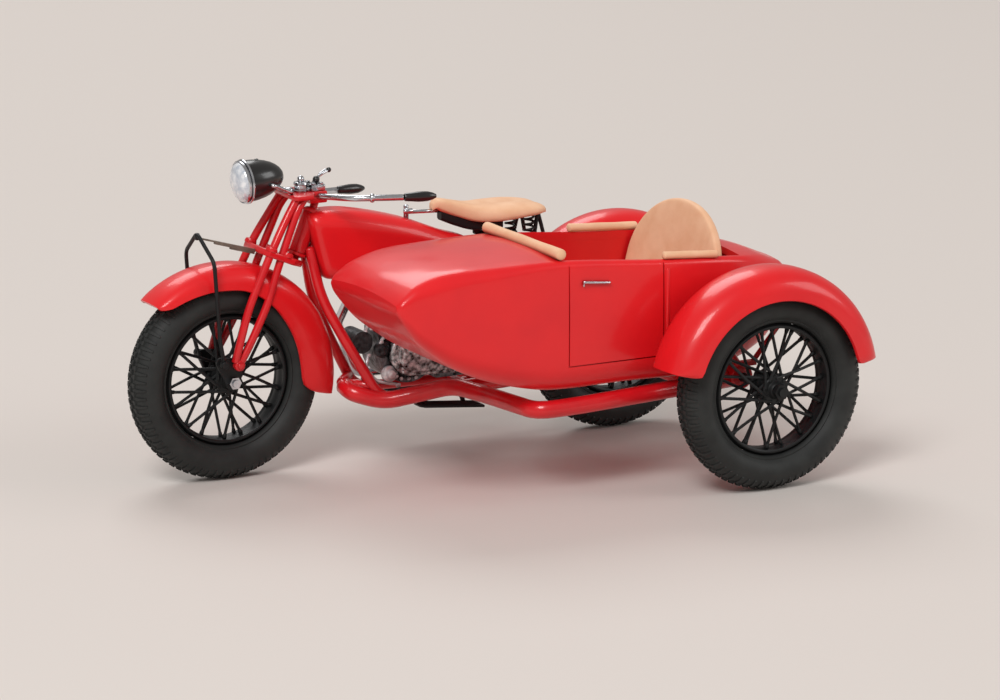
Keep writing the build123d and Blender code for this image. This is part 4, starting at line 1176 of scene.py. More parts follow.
def rounded_box(half: float, low: float, top: float, corner: float, low_corner: float | None = None,
                crown: float = 0.0, bulge: float = 0.0) -> list[Pair]:
    """A closed section, flat or gently crowned, with rounded corners.

    Args:
        half: half the width.
        low: the bottom's height.
        top: the top's height at the sides.
        corner: the upper corners' radius.
        low_corner: the lower corners' radius, or None for the same.
        crown: how much higher the top's middle is.
        bulge: how much wider the middle of the sides is.

    Returns:
        (y, z) pairs, anticlockwise from the right of the bottom.
    """
    upper = min(corner, 0.98 * half, 0.49 * (top - low))
    lower = min(corner if low_corner is None else low_corner, 0.98 * half, 0.49 * (top - low))
    edge_steps, corner_steps, side_steps = 10, 7, 8
    line = [(-(half - lower) + 2 * (half - lower) * i / edge_steps, low) for i in range(edge_steps)]
    line += arc((half - lower, low + lower), lower, -90, 0, corner_steps)
    rise = (top - upper) - (low + lower)
    line += [(half, low + lower + rise * i / side_steps) for i in range(1, side_steps)]
    line += arc((half - upper, top - upper), upper, 0, 90, corner_steps)
    line += [((half - upper) - 2 * (half - upper) * i / edge_steps, top) for i in range(1, edge_steps)]
    line += arc((-(half - upper), top - upper), upper, 90, 180, corner_steps)
    line += [(-half, top - upper - rise * i / side_steps) for i in range(1, side_steps)]
    line += arc((-(half - lower), low + lower), lower, 180, 270, corner_steps)[:-1]
    shaped = []
    for y, z in line:
        lift = crown * (1 - (y / half) ** 2) * max(0.0, (z - (top - upper)) / upper)
        share = (z - low) / (top - low)
        shaped.append((y * (1 + bulge / half * 4 * share * (1 - share)), z + lift))
    return shaped


@dataclass(frozen=True)
class SidecarBody:
    """The punt-nosed sidecar: one rounded shell, hollowed and cut open for the cockpit.

    Args:
        top_line: (x, z) of the top at its sides, nose to tail.
        under_line: (x, z) of the underside.
        plan: (x, half width).
        corner: (x, upper corner radius).
        low_corner: (x, radius between the sides and the underside).
        wall: how thick the shell is.
        crown: how much higher the top's middle is than its sides.
        bulge: how much wider the middle of the sides is.
        mouth: the x of the cockpit's front and rear edge.
        door: the x of the door's front and rear groove.
        door_low: the height of the groove at its foot.
        door_half_w: half the body's width at the door.
        groove: (width, depth) of the door's grooves.
    """

    top_line: Line = (
        (-5.42, 15.85), (-5.6, 16.05), (-6.2, 16.55), (-7.1, 17.1), (-9.3, 17.68), (-13.4, 17.85),
        (-18.6, 17.85), (-26.8, 17.15), (-32.2, 16.78), (-36.0, 16.2), (-38.4, 15.3), (-39.5, 14.7),
        (-39.9, 13.7))
    under_line: Line = (
        (-5.42, 15.35), (-5.6, 15.0), (-6.1, 14.25), (-7.1, 13.0), (-8.6, 11.75), (-10.2, 10.65),
        (-12.4, 9.6), (-15.0, 8.75), (-18.2, 8.15), (-24.0, 8.12), (-31.5, 8.15), (-36.5, 9.6),
        (-38.9, 11.3), (-39.6, 12.0), (-39.9, 12.9))
    plan: Line = (
        (-5.42, 5.2), (-5.7, 5.5), (-7.0, 5.68), (-8.5, 5.78), (-13.0, 6.0), (-18.6, 6.07),
        (-30.0, 6.07), (-34.5, 5.32), (-38.0, 3.9), (-39.2, 3.2), (-39.75, 2.4), (-39.9, 1.5))
    corner: Line = (
        (-5.42, 0.2), (-6.4, 0.6), (-8.0, 0.95), (-12.0, 0.8), (-18.6, 0.45), (-34.0, 0.45),
        (-36.5, 1.0), (-39.4, 1.1), (-39.9, 0.38))
    low_corner: Line = (
        (-5.42, 0.2), (-6.4, 0.7), (-8.6, 1.2), (-12.4, 1.7), (-18.6, 1.8), (-31.5, 1.7),
        (-36.5, 1.2), (-39.4, 1.1), (-39.9, 0.38))
    wall: float = 0.5
    crown: float = 0.35
    bulge: float = 0.08
    mouth: Pair = (-18.6, -34.0)
    door: Pair = (-18.95, -26.8)
    door_low: float = 10.1
    door_half_w: float = 6.07
    groove: Pair = (0.1, 0.05)

    def middle_y(self) -> float:
        """Returns: the y of the body's middle plane."""
        return (middle_mm("sidecar_tub") - DATUM).y

    def loft(self, shrink: float = 0.0) -> Mesh:
        """The body's skin.

        Args:
            shrink: how far it is drawn in from the outer skin.

        Returns:
            The closed mesh.
        """
        lines = (self.top_line, self.under_line, self.plan, self.corner, self.low_corner)
        top, under, plan, corner, low_corner = (eased(line) for line in lines)
        first, last = self.plan[0][0] - shrink, self.plan[-1][0] + shrink
        steps, least, middle, rows = 96, 0.12, self.middle_y(), []
        for i in range(steps + 1):
            share = i / steps
            share = share ** 1.7 * (1 - share) + share * share
            x = first + (last - first) * (1 - (1 - share) ** 1.5)
            half, low, high = plan(x) - shrink, under(x) + shrink, top(x) - shrink
            upper, lower = max(corner(x) - shrink, least), max(low_corner(x) - shrink, least)
            ring = rounded_box(half, low, max(high, low + 0.3), upper, lower, self.crown, self.bulge)
            rows.append([Vector((x, middle + y, z)) for y, z in ring])
        return solid(rows)

    def mouth_cutter(self) -> Mesh:
        """The cockpit's opening, a prism that reaches up through the skin.

        Returns:
            The closed mesh.
        """
        plan = eased(self.plan)
        steps, middle = 28, self.middle_y()
        side = []
        for i in range(steps + 1):
            x = self.mouth[0] + (self.mouth[1] - self.mouth[0]) * i / steps
            side.append((x, plan(x) - self.wall))
        line = side + [(x, -y) for x, y in reversed(side)]
        rows = [[Vector((x, middle + y, z)) for x, y in line] for z in (15.0, 22.0)]
        return solid(rows)

    def build(self) -> None:
        """Makes the shell, cuts it open and adds the door's handle and strap."""
        nodes = ["sidecar_tub", "sidecar_deck", "sidecar_tail_deck"]
        sharp = 34.0
        shell = self.loft().make("sidecar_body_shell", RED_ENAMEL, Body.MACHINE, nodes, sharp)
        for cutter in (self.loft(self.wall), self.mouth_cutter(), *self.door_cutters()):
            cut(shell, cutter)
        soften(shell, sharp)
        self.furniture()

    def door_cutters(self) -> list[Mesh]:
        """The door's grooves, one by one, since cutters that cross don't cut cleanly.

        Returns:
            Their closed meshes.
        """
        side = self.middle_y() + self.door_half_w
        (front, rear), (width, depth), foot_z = self.door, self.groove, self.door_low
        uprights = [block((x - width / 2, side - depth, foot_z), (x + width / 2, side + 1, 18.5))
                    for x in (front, rear)]
        foot = block((rear - width / 2, side - depth, foot_z - width / 2),
                     (front + width / 2, side + 1, foot_z + width / 2))
        return uprights + [foot]

    def furniture(self) -> None:
        """Makes the door's handle and its rear strap."""
        side = self.middle_y() + self.door_half_w + 0.05
        low, high = working_box("door_handle")
        z = (low.z + high.z) / 2
        lever = [(high.x, side, z), (high.x, side + 0.2, z), (low.x, side + 0.2, z - 0.24),
                 (low.x, side, z - 0.24)]
        grip = tube(rounded_line(lever, 0.12), 0.1, 10)
        grip.add(rod((high.x, side + 0.14, z), (high.x + 0.05, side + 0.16, z - 0.35), 0.08, 8))
        grip.make("door_lever", BRIGHT_PLATE, Body.MACHINE, ["door_handle"])
        low, high = working_box("door_hinge")
        x = (low.x + high.x) / 2
        strap = tube([Vector((x, side - 0.02, low.z)), Vector((x, side + 0.02, (low.z + high.z) / 2)),
                      Vector((x, side - 0.02, high.z))], 0.17, 10)
        strap.make("door_strap", RED_ENAMEL, Body.MACHINE, ["door_hinge"])


def cut(made: bpy.types.Object, cutter: Mesh) -> None:
    """Cuts one closed mesh out of an object for good.

    Args:
        made: the object to cut.
        cutter: what is taken away.
    """
    data = bpy.data.meshes.new("cutter")
    data.from_pydata([TO_ROW @ p for p in cutter.points], [], cutter.faces)
    tool = bpy.data.objects.new("cutter", data)
    bpy.context.scene.collection.objects.link(tool)
    outward(tool)
    step = made.modifiers.new("cut", "BOOLEAN")
    step.object, step.operation, step.solver = tool, "DIFFERENCE", "EXACT"
    graph = bpy.context.evaluated_depsgraph_get()
    result = bpy.data.meshes.new_from_object(made.evaluated_get(graph))
    made.modifiers.clear()
    old, made.data = made.data, result
    result.name = made.name
    bpy.data.meshes.remove(old)
    bpy.data.objects.remove(tool)
    bpy.data.meshes.remove(data)


FRONT_FENDER = Fender(
    "front_fender", (0.0, 0.0, 7.6), 2.0,
    ((46.5, 8.72, 8.1), (52.0, 8.8, 7.85), (58.0, 8.8, 7.7), (70.0, 8.78, 7.42), (87.0, 8.75, 7.14),
     (100.0, 8.75, 7.0), (124.0, 8.78, 6.4), (136.0, 8.8, 6.1), (156.0, 8.82, 5.8), (176.0, 8.86, 5.7),
     (193.0, 8.9, 5.9)), square=2.5, nose_deg=8.0)
REAR_FENDER = Fender("rear_fender", (-33.2, 0.0, 7.6), 2.05,
                     ((22.0, 9.5, 7.9), (102.0, 9.5, 7.9), (182.0, 9.5, 7.9)))
CAR_FENDER = Fender("sidecar_fender", (-33.38, 22.0, 7.68), 2.47,
                    ((14.5, 9.06, 7.0), (60.0, 9.1, 7.0), (93.0, 9.12, 7.0), (169.5, 9.18, 7.0)),
                    square=2.5, nose_deg=3.0)


# ---- steering
# The steering axis leans back by its rake; STEER_PLACE stands a piece on it, with z along the axis.
RAKE_DEG = 23.0
STEER_PLACE = Matrix.Translation((-6.9, 0.0, 18.2)) @ Matrix.Rotation(radians(-RAKE_DEG), 4, "Y")


@dataclass(frozen=True)
class Fork:
    """The girder fork: two legs a side, held by the crown, the level top plate and the fork ends.

    Args:
        leg_r: radius of the legs.
        front_leg: the left front leg, from the top down.
        rear_leg: the left rear leg, from the top down.
        crown_w: underside of the crown, along the steering axis from the middle of the head tube.
        plate_z: underside of the top plate.
        pivot: where the left fork end holds its link.
        crown_plan: the left half of the crown, as (ahead of the steering axis, y), back to front.
        sockets: (ahead of the steering axis, y) of the left sockets that hold the legs.
        socket_profile: (radius, height) of one socket.
        plate_plan: the left half of the top plate, front to back.
        lug: (x of its rear end, x of its front end, half width) of the lug that holds the bar.
        stem: (lower end, upper end, radius) of the stem, along the steering axis.
    """

    leg_r: float = 0.3
    front_leg: Path = (
        (-5.6, 1.35, 20.85), (-4.6, 1.5, 19.36), (-3.36, 1.8, 17.35), (-1.21, 2.0, 13.05),
        (0.0, 2.15, 9.1))
    rear_leg: Path = (
        (-6.25, 1.35, 20.85), (-5.5, 1.5, 19.9), (-3.75, 1.78, 15.85), (-2.84, 1.95, 13.3),
        (-1.28, 2.1, 10.45), (-0.4, 2.15, 9.05))
    crown_w: float = -2.85
    plate_z: float = 20.7
    pivot: Point = (-0.3, 2.15, 8.95)
    crown_plan: Line = ((-0.45, 0.6), (1.0, 2.15), (3.2, 2.2), (3.4, 1.9))
    sockets: Line = ((3.0, 1.8), (1.6, 1.78))
    socket_profile: Line = ((0.0, 0.0), (0.44, 0.0), (0.47, 0.1), (0.42, 0.3), (0.31, 0.36), (0.0, 0.36))
    plate_plan: Line = ((-5.2, 1.7), (-5.4, 2.0), (-6.7, 1.95), (-7.3, 0.78), (-8.35, 0.75))
    lug: Point = (-8.35, -6.95, 0.75)
    stem: Point = (-2.85, 2.7, 0.29)

    def legs(self) -> Mesh:
        """The four legs.

        Returns:
            Their mesh.
        """
        made = Mesh()
        for side in (1, -1):
            for leg in (self.front_leg, self.rear_leg):
                made.add(tube(rounded_line(mirrored(leg, side), 1.2), self.leg_r, 16))
        return made

    def plates(self) -> Mesh:
        """The crown with its leg sockets, and the top plate with the lug that holds the bar.

        Returns:
            Their mesh.
        """
        crown = [(x, -y) for x, y in self.crown_plan] + list(reversed(self.crown_plan))
        made = Mesh().add(slab(crown, 0.5, 0.12),
                          STEER_PLACE @ Matrix.Translation((0.0, 0.0, self.crown_w)))
        socket = lathe(self.socket_profile, 20)
        for ahead, y in self.sockets:
            for side in (1, -1):
                place = Matrix.Translation((ahead, side * y, self.crown_w + 0.42))
                made.add(socket, STEER_PLACE @ place)
        plan = [(x, -y) for x, y in reversed(self.plate_plan)] + list(self.plate_plan)
        made.add(slab(plan, 0.35, 0.1), Matrix.Translation((0.0, 0.0, self.plate_z)))
        made.add(slab(plate(*self.lug), 0.6, 0.14), Matrix.Translation((0.0, 0.0, self.plate_z - 0.55)))
        return made

    def ends(self) -> Mesh:
        """The fork ends at the links, each with its nut.

        Returns:
            Their mesh.
        """
        x, y, z = self.pivot
        made = Mesh()
        for side in (1, -1):
            made.add(slab(ring_of(20, 0.42), 0.6, 0.12), sideways(x, side * y - 0.3, z))
            made.add(slab(ring_of(6, 0.26), 0.16, 0.04), sideways(x, side * (y + 0.36) - 0.08, z))
        return made

    def build(self) -> None:
        """Makes the fork and hangs it on the steering."""
        made = Mesh().add(self.legs()).add(self.plates()).add(self.ends())
        low, high, radius = self.stem
        made.add(rod(STEER_PLACE @ Vector((0, 0, low)), STEER_PLACE @ Vector((0, 0, high)), radius))
        made.make("fork_legs_and_plates", RED_TUBE, Body.STEERING, ["fork"])


@dataclass(frozen=True)
class ForkSpring:
    """The bare leaf spring over the fender and the black wire bow that hangs from its tip.

    Args:
        root: the leaf's place on the crown.
        tip: its front end.
        width: its width.
        strips: each strip's length, as a share of the leaf's.
        strip_t: how thick a strip is.
        bow: the left half of the wire, from the link up.
        apex: where the wire crosses over the tip.
        wire_r: the wire's radius.
    """

    root: Point = (-2.7, 0.0, 16.95)
    tip: Point = (1.94, 0.0, 18.3)
    width: float = 0.3
    strips: tuple[float, ...] = (1.0, 0.7, 0.42)
    strip_t: float = 0.12
    bow: Path = ((0.95, 2.35, 9.15), (1.35, 2.5, 11.0), (1.72, 2.5, 16.9))
    apex: Point = (1.94, 0.0, 18.72)
    wire_r: float = 0.15

    def leaf(self) -> Mesh:
        """The strips, each shorter than the one above it.

        Returns:
            Their mesh.
        """
        start, end = Vector(self.root), Vector(self.tip)
        along = end - start
        turn = atan2(along.z, along.x)
        made = Mesh()
        aim = Matrix.Translation(start) @ Matrix.Rotation(-turn, 4, "Y")
        for i, share in enumerate(self.strips):
            length, half = along.length * share, self.width / 2
            plan = [(0.0, -half), (length - 0.12, -half), (length, -0.6 * half), (length, 0.6 * half),
                    (length - 0.12, half), (0.0, half)]
            drop = Matrix.Translation((0, 0, -(self.strip_t + 0.01) * i))
            made.add(slab(plan, self.strip_t, 0.025), aim @ drop)
        return made

    def wire(self) -> Mesh:
        """The bow with its eyes on the links and the clip at the spring's tip.

        Returns:
            Its mesh.
        """
        right = mirrored(self.bow[::-1], -1)
        made = tube(rounded_line([*self.bow, self.apex, *right], 0.5), self.wire_r, 12)
        x, y, z = self.bow[0]
        for side in (1, -1):
            made.add(slab(ring_of(16, 0.3), 0.5, 0.06), sideways(x, side * y - 0.25, z))
        x, y, z = self.tip
        made.add(rod((x - 0.05, y, z - 0.12), self.apex, 0.19, 12))
        return made

    def build(self) -> None:
        """Makes the spring and the bow."""
        self.leaf().make("leaf_spring_strips", BARE_STRIP, Body.STEERING, ["leaf_spring"])
        self.wire().make("spring_bow_wire", BLACK_SATIN, Body.STEERING, ["spring_bow"])


@dataclass(frozen=True)
class Headlamp:
    """A black bowl with a bright double rim, a domed lens and a bright bracket.

    Args:
        mouth: the middle of the bowl's mouth.
        aim_deg: how far it looks down.
        bowl_r: the bowl's radius at the mouth.
        depth: the bowl's length.
        rim_r: the rim's radius.
        foot: where both arms of the bracket stand on the top plate.
        arm_r: an arm's radius.
        hold: the (y, z) where the left arm meets the bowl's side.
    """

    mouth: Point = (-2.08, 0.0, 22.2)
    aim_deg: float = 5.0
    bowl_r: float = 1.56
    depth: float = 3.0
    rim_r: float = 1.69
    foot: Point = (-5.55, 0.0, 21.2)
    arm_r: float = 0.15
    hold: Pair = (1.62, 22.0)

    def place(self) -> Matrix:
        """Returns: the matrix that takes the lamp's own Z axis to where it looks."""
        aim = radians(self.aim_deg)
        return onto(Vector(self.mouth), Vector((cos(aim), 0.0, -sin(aim))))

    def build(self) -> None:
        """Makes the bowl, the rim, the lens and the bracket."""
        place, r = self.place(), self.rim_r
        curve = [(self.bowl_r * cos(radians(t)), -self.depth * sin(radians(t)))
                 for t in (89.5, 82, 73, 64, 54, 44, 34, 24, 14, 6, 0)]
        bowl = Mesh().add(lathe(curve + [(self.bowl_r, 0.04)], 48), place)
        nub = lathe([(0.0, 0.0), (0.16, 0.0), (0.16, 0.14), (0.1, 0.22), (0.0, 0.24)], 12)
        top = Matrix.Translation((0.0, self.bowl_r - 0.24, -1.0))
        bowl.add(nub, place @ top @ OUTBOARD)
        bowl.make("headlamp_bowl", BLACK_GLOSS, Body.STEERING, ["headlamp_shell"])
        rim = [(r - inward, z) for inward, z in (
            (0.36, 0.05), (0.04, 0.02), (0.0, 0.09), (0.02, 0.18), (0.17, 0.22), (0.18, 0.28),
            (0.08, 0.32), (0.09, 0.42), (0.15, 0.48), (0.22, 0.44))]
        Mesh().add(turned(rim, 64), place).make(
            "headlamp_double_rim", BRIGHT_PLATE, Body.STEERING, ["headlamp_rim"])
        glass = r - 0.2
        dome = [(share * glass, z) for share, z in (
            (0.0, 0.3), (1.0, 0.3), (1.0, 0.42), (0.93, 0.6), (0.8, 0.76), (0.6, 0.89), (0.36, 0.97),
            (0.0, 1.0))]
        # The lens is a solid near-white dome whose colour is partly a painted reflection of the plated
        # dish.
        Mesh().add(lathe(dome, 48), place).make(
            "headlamp_domed_lens", LENS_AND_PAINTED_REFLECTION, Body.STEERING, ["headlamp_lens"])
        self.bracket().make("headlamp_bracket", BRIGHT_PLATE, Body.STEERING)

    def bracket(self) -> Mesh:
        """The post and the two arms that hold the bowl to the top plate.

        Returns:
            Their mesh.
        """
        (x, y, z), (hold_y, hold_z) = self.foot, self.hold
        hold_x = self.mouth[0] - self.depth / 2
        made = rod((x, y, z - 0.2), (x, y, z + 0.25), 0.36)
        for side in (1, -1):
            arm = [self.foot, (x + 0.15, side, z), (hold_x, side * hold_y, hold_z),
                   (hold_x + 0.1, side * 1.3, hold_z + 0.05)]
            made.add(tube(rounded_line(arm, 0.3), self.arm_r, 10))
        return made


@dataclass(frozen=True)
class Controls:
    """The swept-back bar with its grips, and the castings on the top plate.

    Args:
        middle_z: the bar's height at its middle.
        tilt_deg: how far the bar sits out of level, its left end the higher.
        half_bar: the left half of the bar before it is tilted, as (x, y, z above its middle).
        bar_r: the bar's radius.
        grip: (radius, share of the grip's length).
        grip_length: the length of a grip.
        collar: both ends of the left collar on the bar.
        collar_r: the collars' radius.
        base_z: the height at which the castings stand.
        clamp: (rear x, front x, half width) of the clamp.
        bridge: the same of the flat piece from the clamp to the drum.
        drum_x: the middle of the switch drum.
        bolts: the (x, y) of the clamp's bolts.
        lever_feet: (x, y, reach to the rear) of each lever.
        lever_z: the heights of a lever's foot, bend and end.
        knob_places: the middle of each black knob.
        knob_r: each knob's radius.
        knob_post: both ends of the post below the first knob.
    """

    middle_z: float = 20.6
    tilt_deg: float = 7.0
    half_bar: Path = (
        (-7.65, 0.0, 0.0), (-7.65, 1.0, 0.0), (-8.8, 4.0, -0.12), (-12.3, 5.6, -0.28))
    bar_r: float = 0.235
    grip: Line = (
        (0.0, 0.0), (0.26, 0.0), (0.3, 0.04), (0.33, 0.2), (0.385, 0.42), (0.385, 0.55), (0.365, 0.72),
        (0.27, 0.87), (0.14, 0.98), (0.0, 1.0))
    grip_length: float = 2.5
    collar: Ends = ((-9.95, 4.53, -0.17), (-10.35, 4.71, -0.19))
    collar_r: float = 0.34
    base_z: float = 21.05
    clamp: Point = (-8.25, -7.15, 0.65)
    bridge: Point = (-7.85, -6.2, 0.42)
    drum_x: float = -6.55
    bolts: Line = ((-7.95, 0.5), (-7.35, 0.5), (-7.95, -0.5), (-7.35, -0.5))
    lever_feet: Path = ((-7.9, -0.3, 1.2), (-8.2, -0.75, 0.95))
    lever_z: Point = (21.4, 21.95, 22.3)
    knob_places: Path = ((-7.75, 0.15, 21.85), (-9.15, -0.58, 22.32))
    knob_r: Pair = (0.27, 0.2)
    knob_post: Ends = ((-7.75, 0.15, 21.5), (-7.75, 0.15, 21.75))

    def tilt(self) -> Matrix:
        """Returns: the matrix from the level bar to its tilted place."""
        lift = Matrix.Translation((0, 0, self.middle_z))
        return lift @ Matrix.Rotation(radians(self.tilt_deg), 4, "X")

    def bar(self) -> Mesh:
        """The bar from grip to grip, with a collar on each side.

        Returns:
            Its mesh.
        """
        left = self.half_bar[1:]
        made = tube(rounded_line([*mirrored(left[::-1], -1), *left], 0.9), self.bar_r, 16)
        for side in (1, -1):
            made.add(rod(*mirrored(self.collar, side), self.collar_r, 14))
        return Mesh().add(made, self.tilt())

    def grips(self) -> Mesh:
        """Both grips, which go on along the bar's ends.

        Returns:
            Their mesh.
        """
        start = Vector(self.half_bar[-1])
        run = (Vector((start.x - self.grip_length, 6.0, start.z - 0.1)) - start).normalized()
        made = Mesh()
        spindle = lathe([(r, share * self.grip_length) for r, share in self.grip], 24)
        for side in (1, -1):
            at = Vector((start.x, side * start.y, start.z))
            made.add(spindle, self.tilt() @ onto(at, Vector((run.x, side * run.y, run.z))))
        return made

    def castings(self) -> Mesh:
        """The clamp with its bolts, and the switch drum with its ball.

        Returns:
            Their mesh.
        """
        made = slab(plate(*self.clamp), 0.5, 0.1)
        made.add(slab(plate(*self.bridge), 0.26, 0.06))
        drum = lathe([(0.0, 0.0), (0.54, 0.0), (0.56, 0.1), (0.5, 0.16), (0.5, 0.5), (0.56, 0.56),
                      (0.52, 0.7), (0.2, 0.78), (0.0, 0.78)], 28)
        place = Matrix.Translation((self.drum_x, 0, 0))
        made.add(drum, place).add(lathe(ball(0.28, (-88, -60, -30, 0, 30, 60, 88), 0.9), 20), place)
        for x, y in self.bolts:
            made.add(slab(ring_of(6, 0.2), 0.16, 0.04), Matrix.Translation((x, y, 0.48)))
        return Mesh().add(made, Matrix.Translation((0, 0, self.base_z)))

    def levers(self) -> Mesh:
        """Two short bright levers on the clamp, one behind the other.

        Returns:
            Their mesh.
        """
        made = Mesh()
        foot, bend, end = self.lever_z
        for x, y, reach in self.lever_feet:
            line = [(x, y, foot), (x - 0.25, y - 0.1, bend), (x - reach, y - 0.25, end)]
            made.add(tube(rounded_line(line, 0.3), lambda s: 0.13 - 0.03 * s, 10))
            made.add(rod((x, y, foot - 0.1), (x, y, foot + 0.22), 0.22, 12))
        return made

    def knobs(self) -> Mesh:
        """The black knobs on the clamp and at a lever's end.

        Returns:
            Their mesh.
        """
        made = Mesh()
        for place, r in zip(self.knob_places, self.knob_r):
            made.add(lathe(ball(r, (-88, -55, -25, 0, 25, 55, 88)), 18), Matrix.Translation(place))
        made.add(rod(*self.knob_post, 0.12, 10))
        return made

    def build(self) -> None:
        """Makes the bar, the grips and the castings."""
        self.bar().make("swept_handlebar", BRIGHT_PLATE, Body.STEERING, ["handlebar"])
        self.grips().make("spindle_grips", BLACK_GLOSS, Body.STEERING, ["grips"])
        Mesh().add(self.castings()).add(self.levers()).make(
            "bar_castings", BRIGHT_PLATE, Body.STEERING, ["bar_clamp"])
        self.knobs().make("control_knob_balls", BLACK_GLOSS, Body.STEERING, ["control_knobs"])


# ---- engine and running gear
@dataclass(frozen=True)
class Frame:
    """The motorcycle's tubular frame: head tube, twin loop, seat tube, top tube and rear stays.

    Args:
        loop: the left down tube and cradle, from the head to the rear axle.
        stay: the left upper stay.
        tube_r: radius of the loop, the seat tube and the top tube.
        stay_r: radius of the stays and braces.
        head_r: radius of the head tube.
        head_span: the head tube's lower and upper end, along the steering axis.
        collars: where each of its collars starts, as a share of its length, and how long they are.
        seat_tube: its foot and top.
        top_tube: its front and rear end.
        cross_x: where tubes join both sides of the cradle.
        cradle: (half the width between its sides, height) of the cradle.
        lug: (radius, thickness) of the lugs at the rear axle.
    """

    loop: Path = (
        (-6.95, 0.4, 16.9), (-7.75, 0.85, 12.9), (-9.3, 1.5, 9.75), (-11.95, 2.2, 5.0),
        (-20.2, 1.9, 5.0), (-23.2, 2.6, 5.2), (-33.2, 2.6, 7.6))
    stay: Path = ((-21.1, 0.2, 14.5), (-24.4, 2.6, 12.7), (-33.2, 2.6, 7.6))
    tube_r: float = 0.4
    stay_r: float = 0.36
    head_r: float = 0.65
    head_span: Pair = (-2.28, 1.7)
    collars: Point = (0.02, 0.86, 0.12)
    seat_tube: Ends = ((-20.8, 0.0, 4.9), (-21.3, 0.0, 16.3))
    top_tube: Ends = ((-7.1, 0.0, 16.7), (-21.2, 0.0, 15.2))
    cross_x: Pair = (-12.5, -19.8)
    cradle: Pair = (1.9, 5.0)
    lug: Pair = (0.93, 0.4)

    def build(self) -> None:
        """Makes the frame and hangs it on the machine."""
        made = Mesh()
        (x, y, z), (radius, thick) = self.loop[-1], self.lug
        for side in (1, -1):
            made.add(tube(rounded_line(mirrored(self.loop, side), 1.4, 8), self.tube_r, 18))
            made.add(tube(rounded_line(mirrored(self.stay, side), 1.0), self.stay_r, 14))
            made.add(slab(ring_of(28, radius), thick, 0.08), sideways(x, side * y - thick / 2, z))
        made.add(rod(*self.seat_tube, self.tube_r)).add(rod(*self.top_tube, self.tube_r))
        wide, z = self.cradle
        for x in self.cross_x:
            made.add(rod((x, -wide, z), (x, wide, z), self.stay_r))
        made.add(rod((self.cross_x[-1], 0, z), (self.seat_tube[0][0], 0, z), self.stay_r))
        low, high = (STEER_PLACE @ Vector((0, 0, w)) for w in self.head_span)
        made.add(tube([low, high], self.head_r, 24))
        for share in self.collars[:2]:
            ends = [low.lerp(high, share), low.lerp(high, share + self.collars[2])]
            made.add(tube(ends, self.head_r + 0.1, 24))
        made.make("tubular_frame", RED_TUBE, Body.MACHINE, ["frame"])


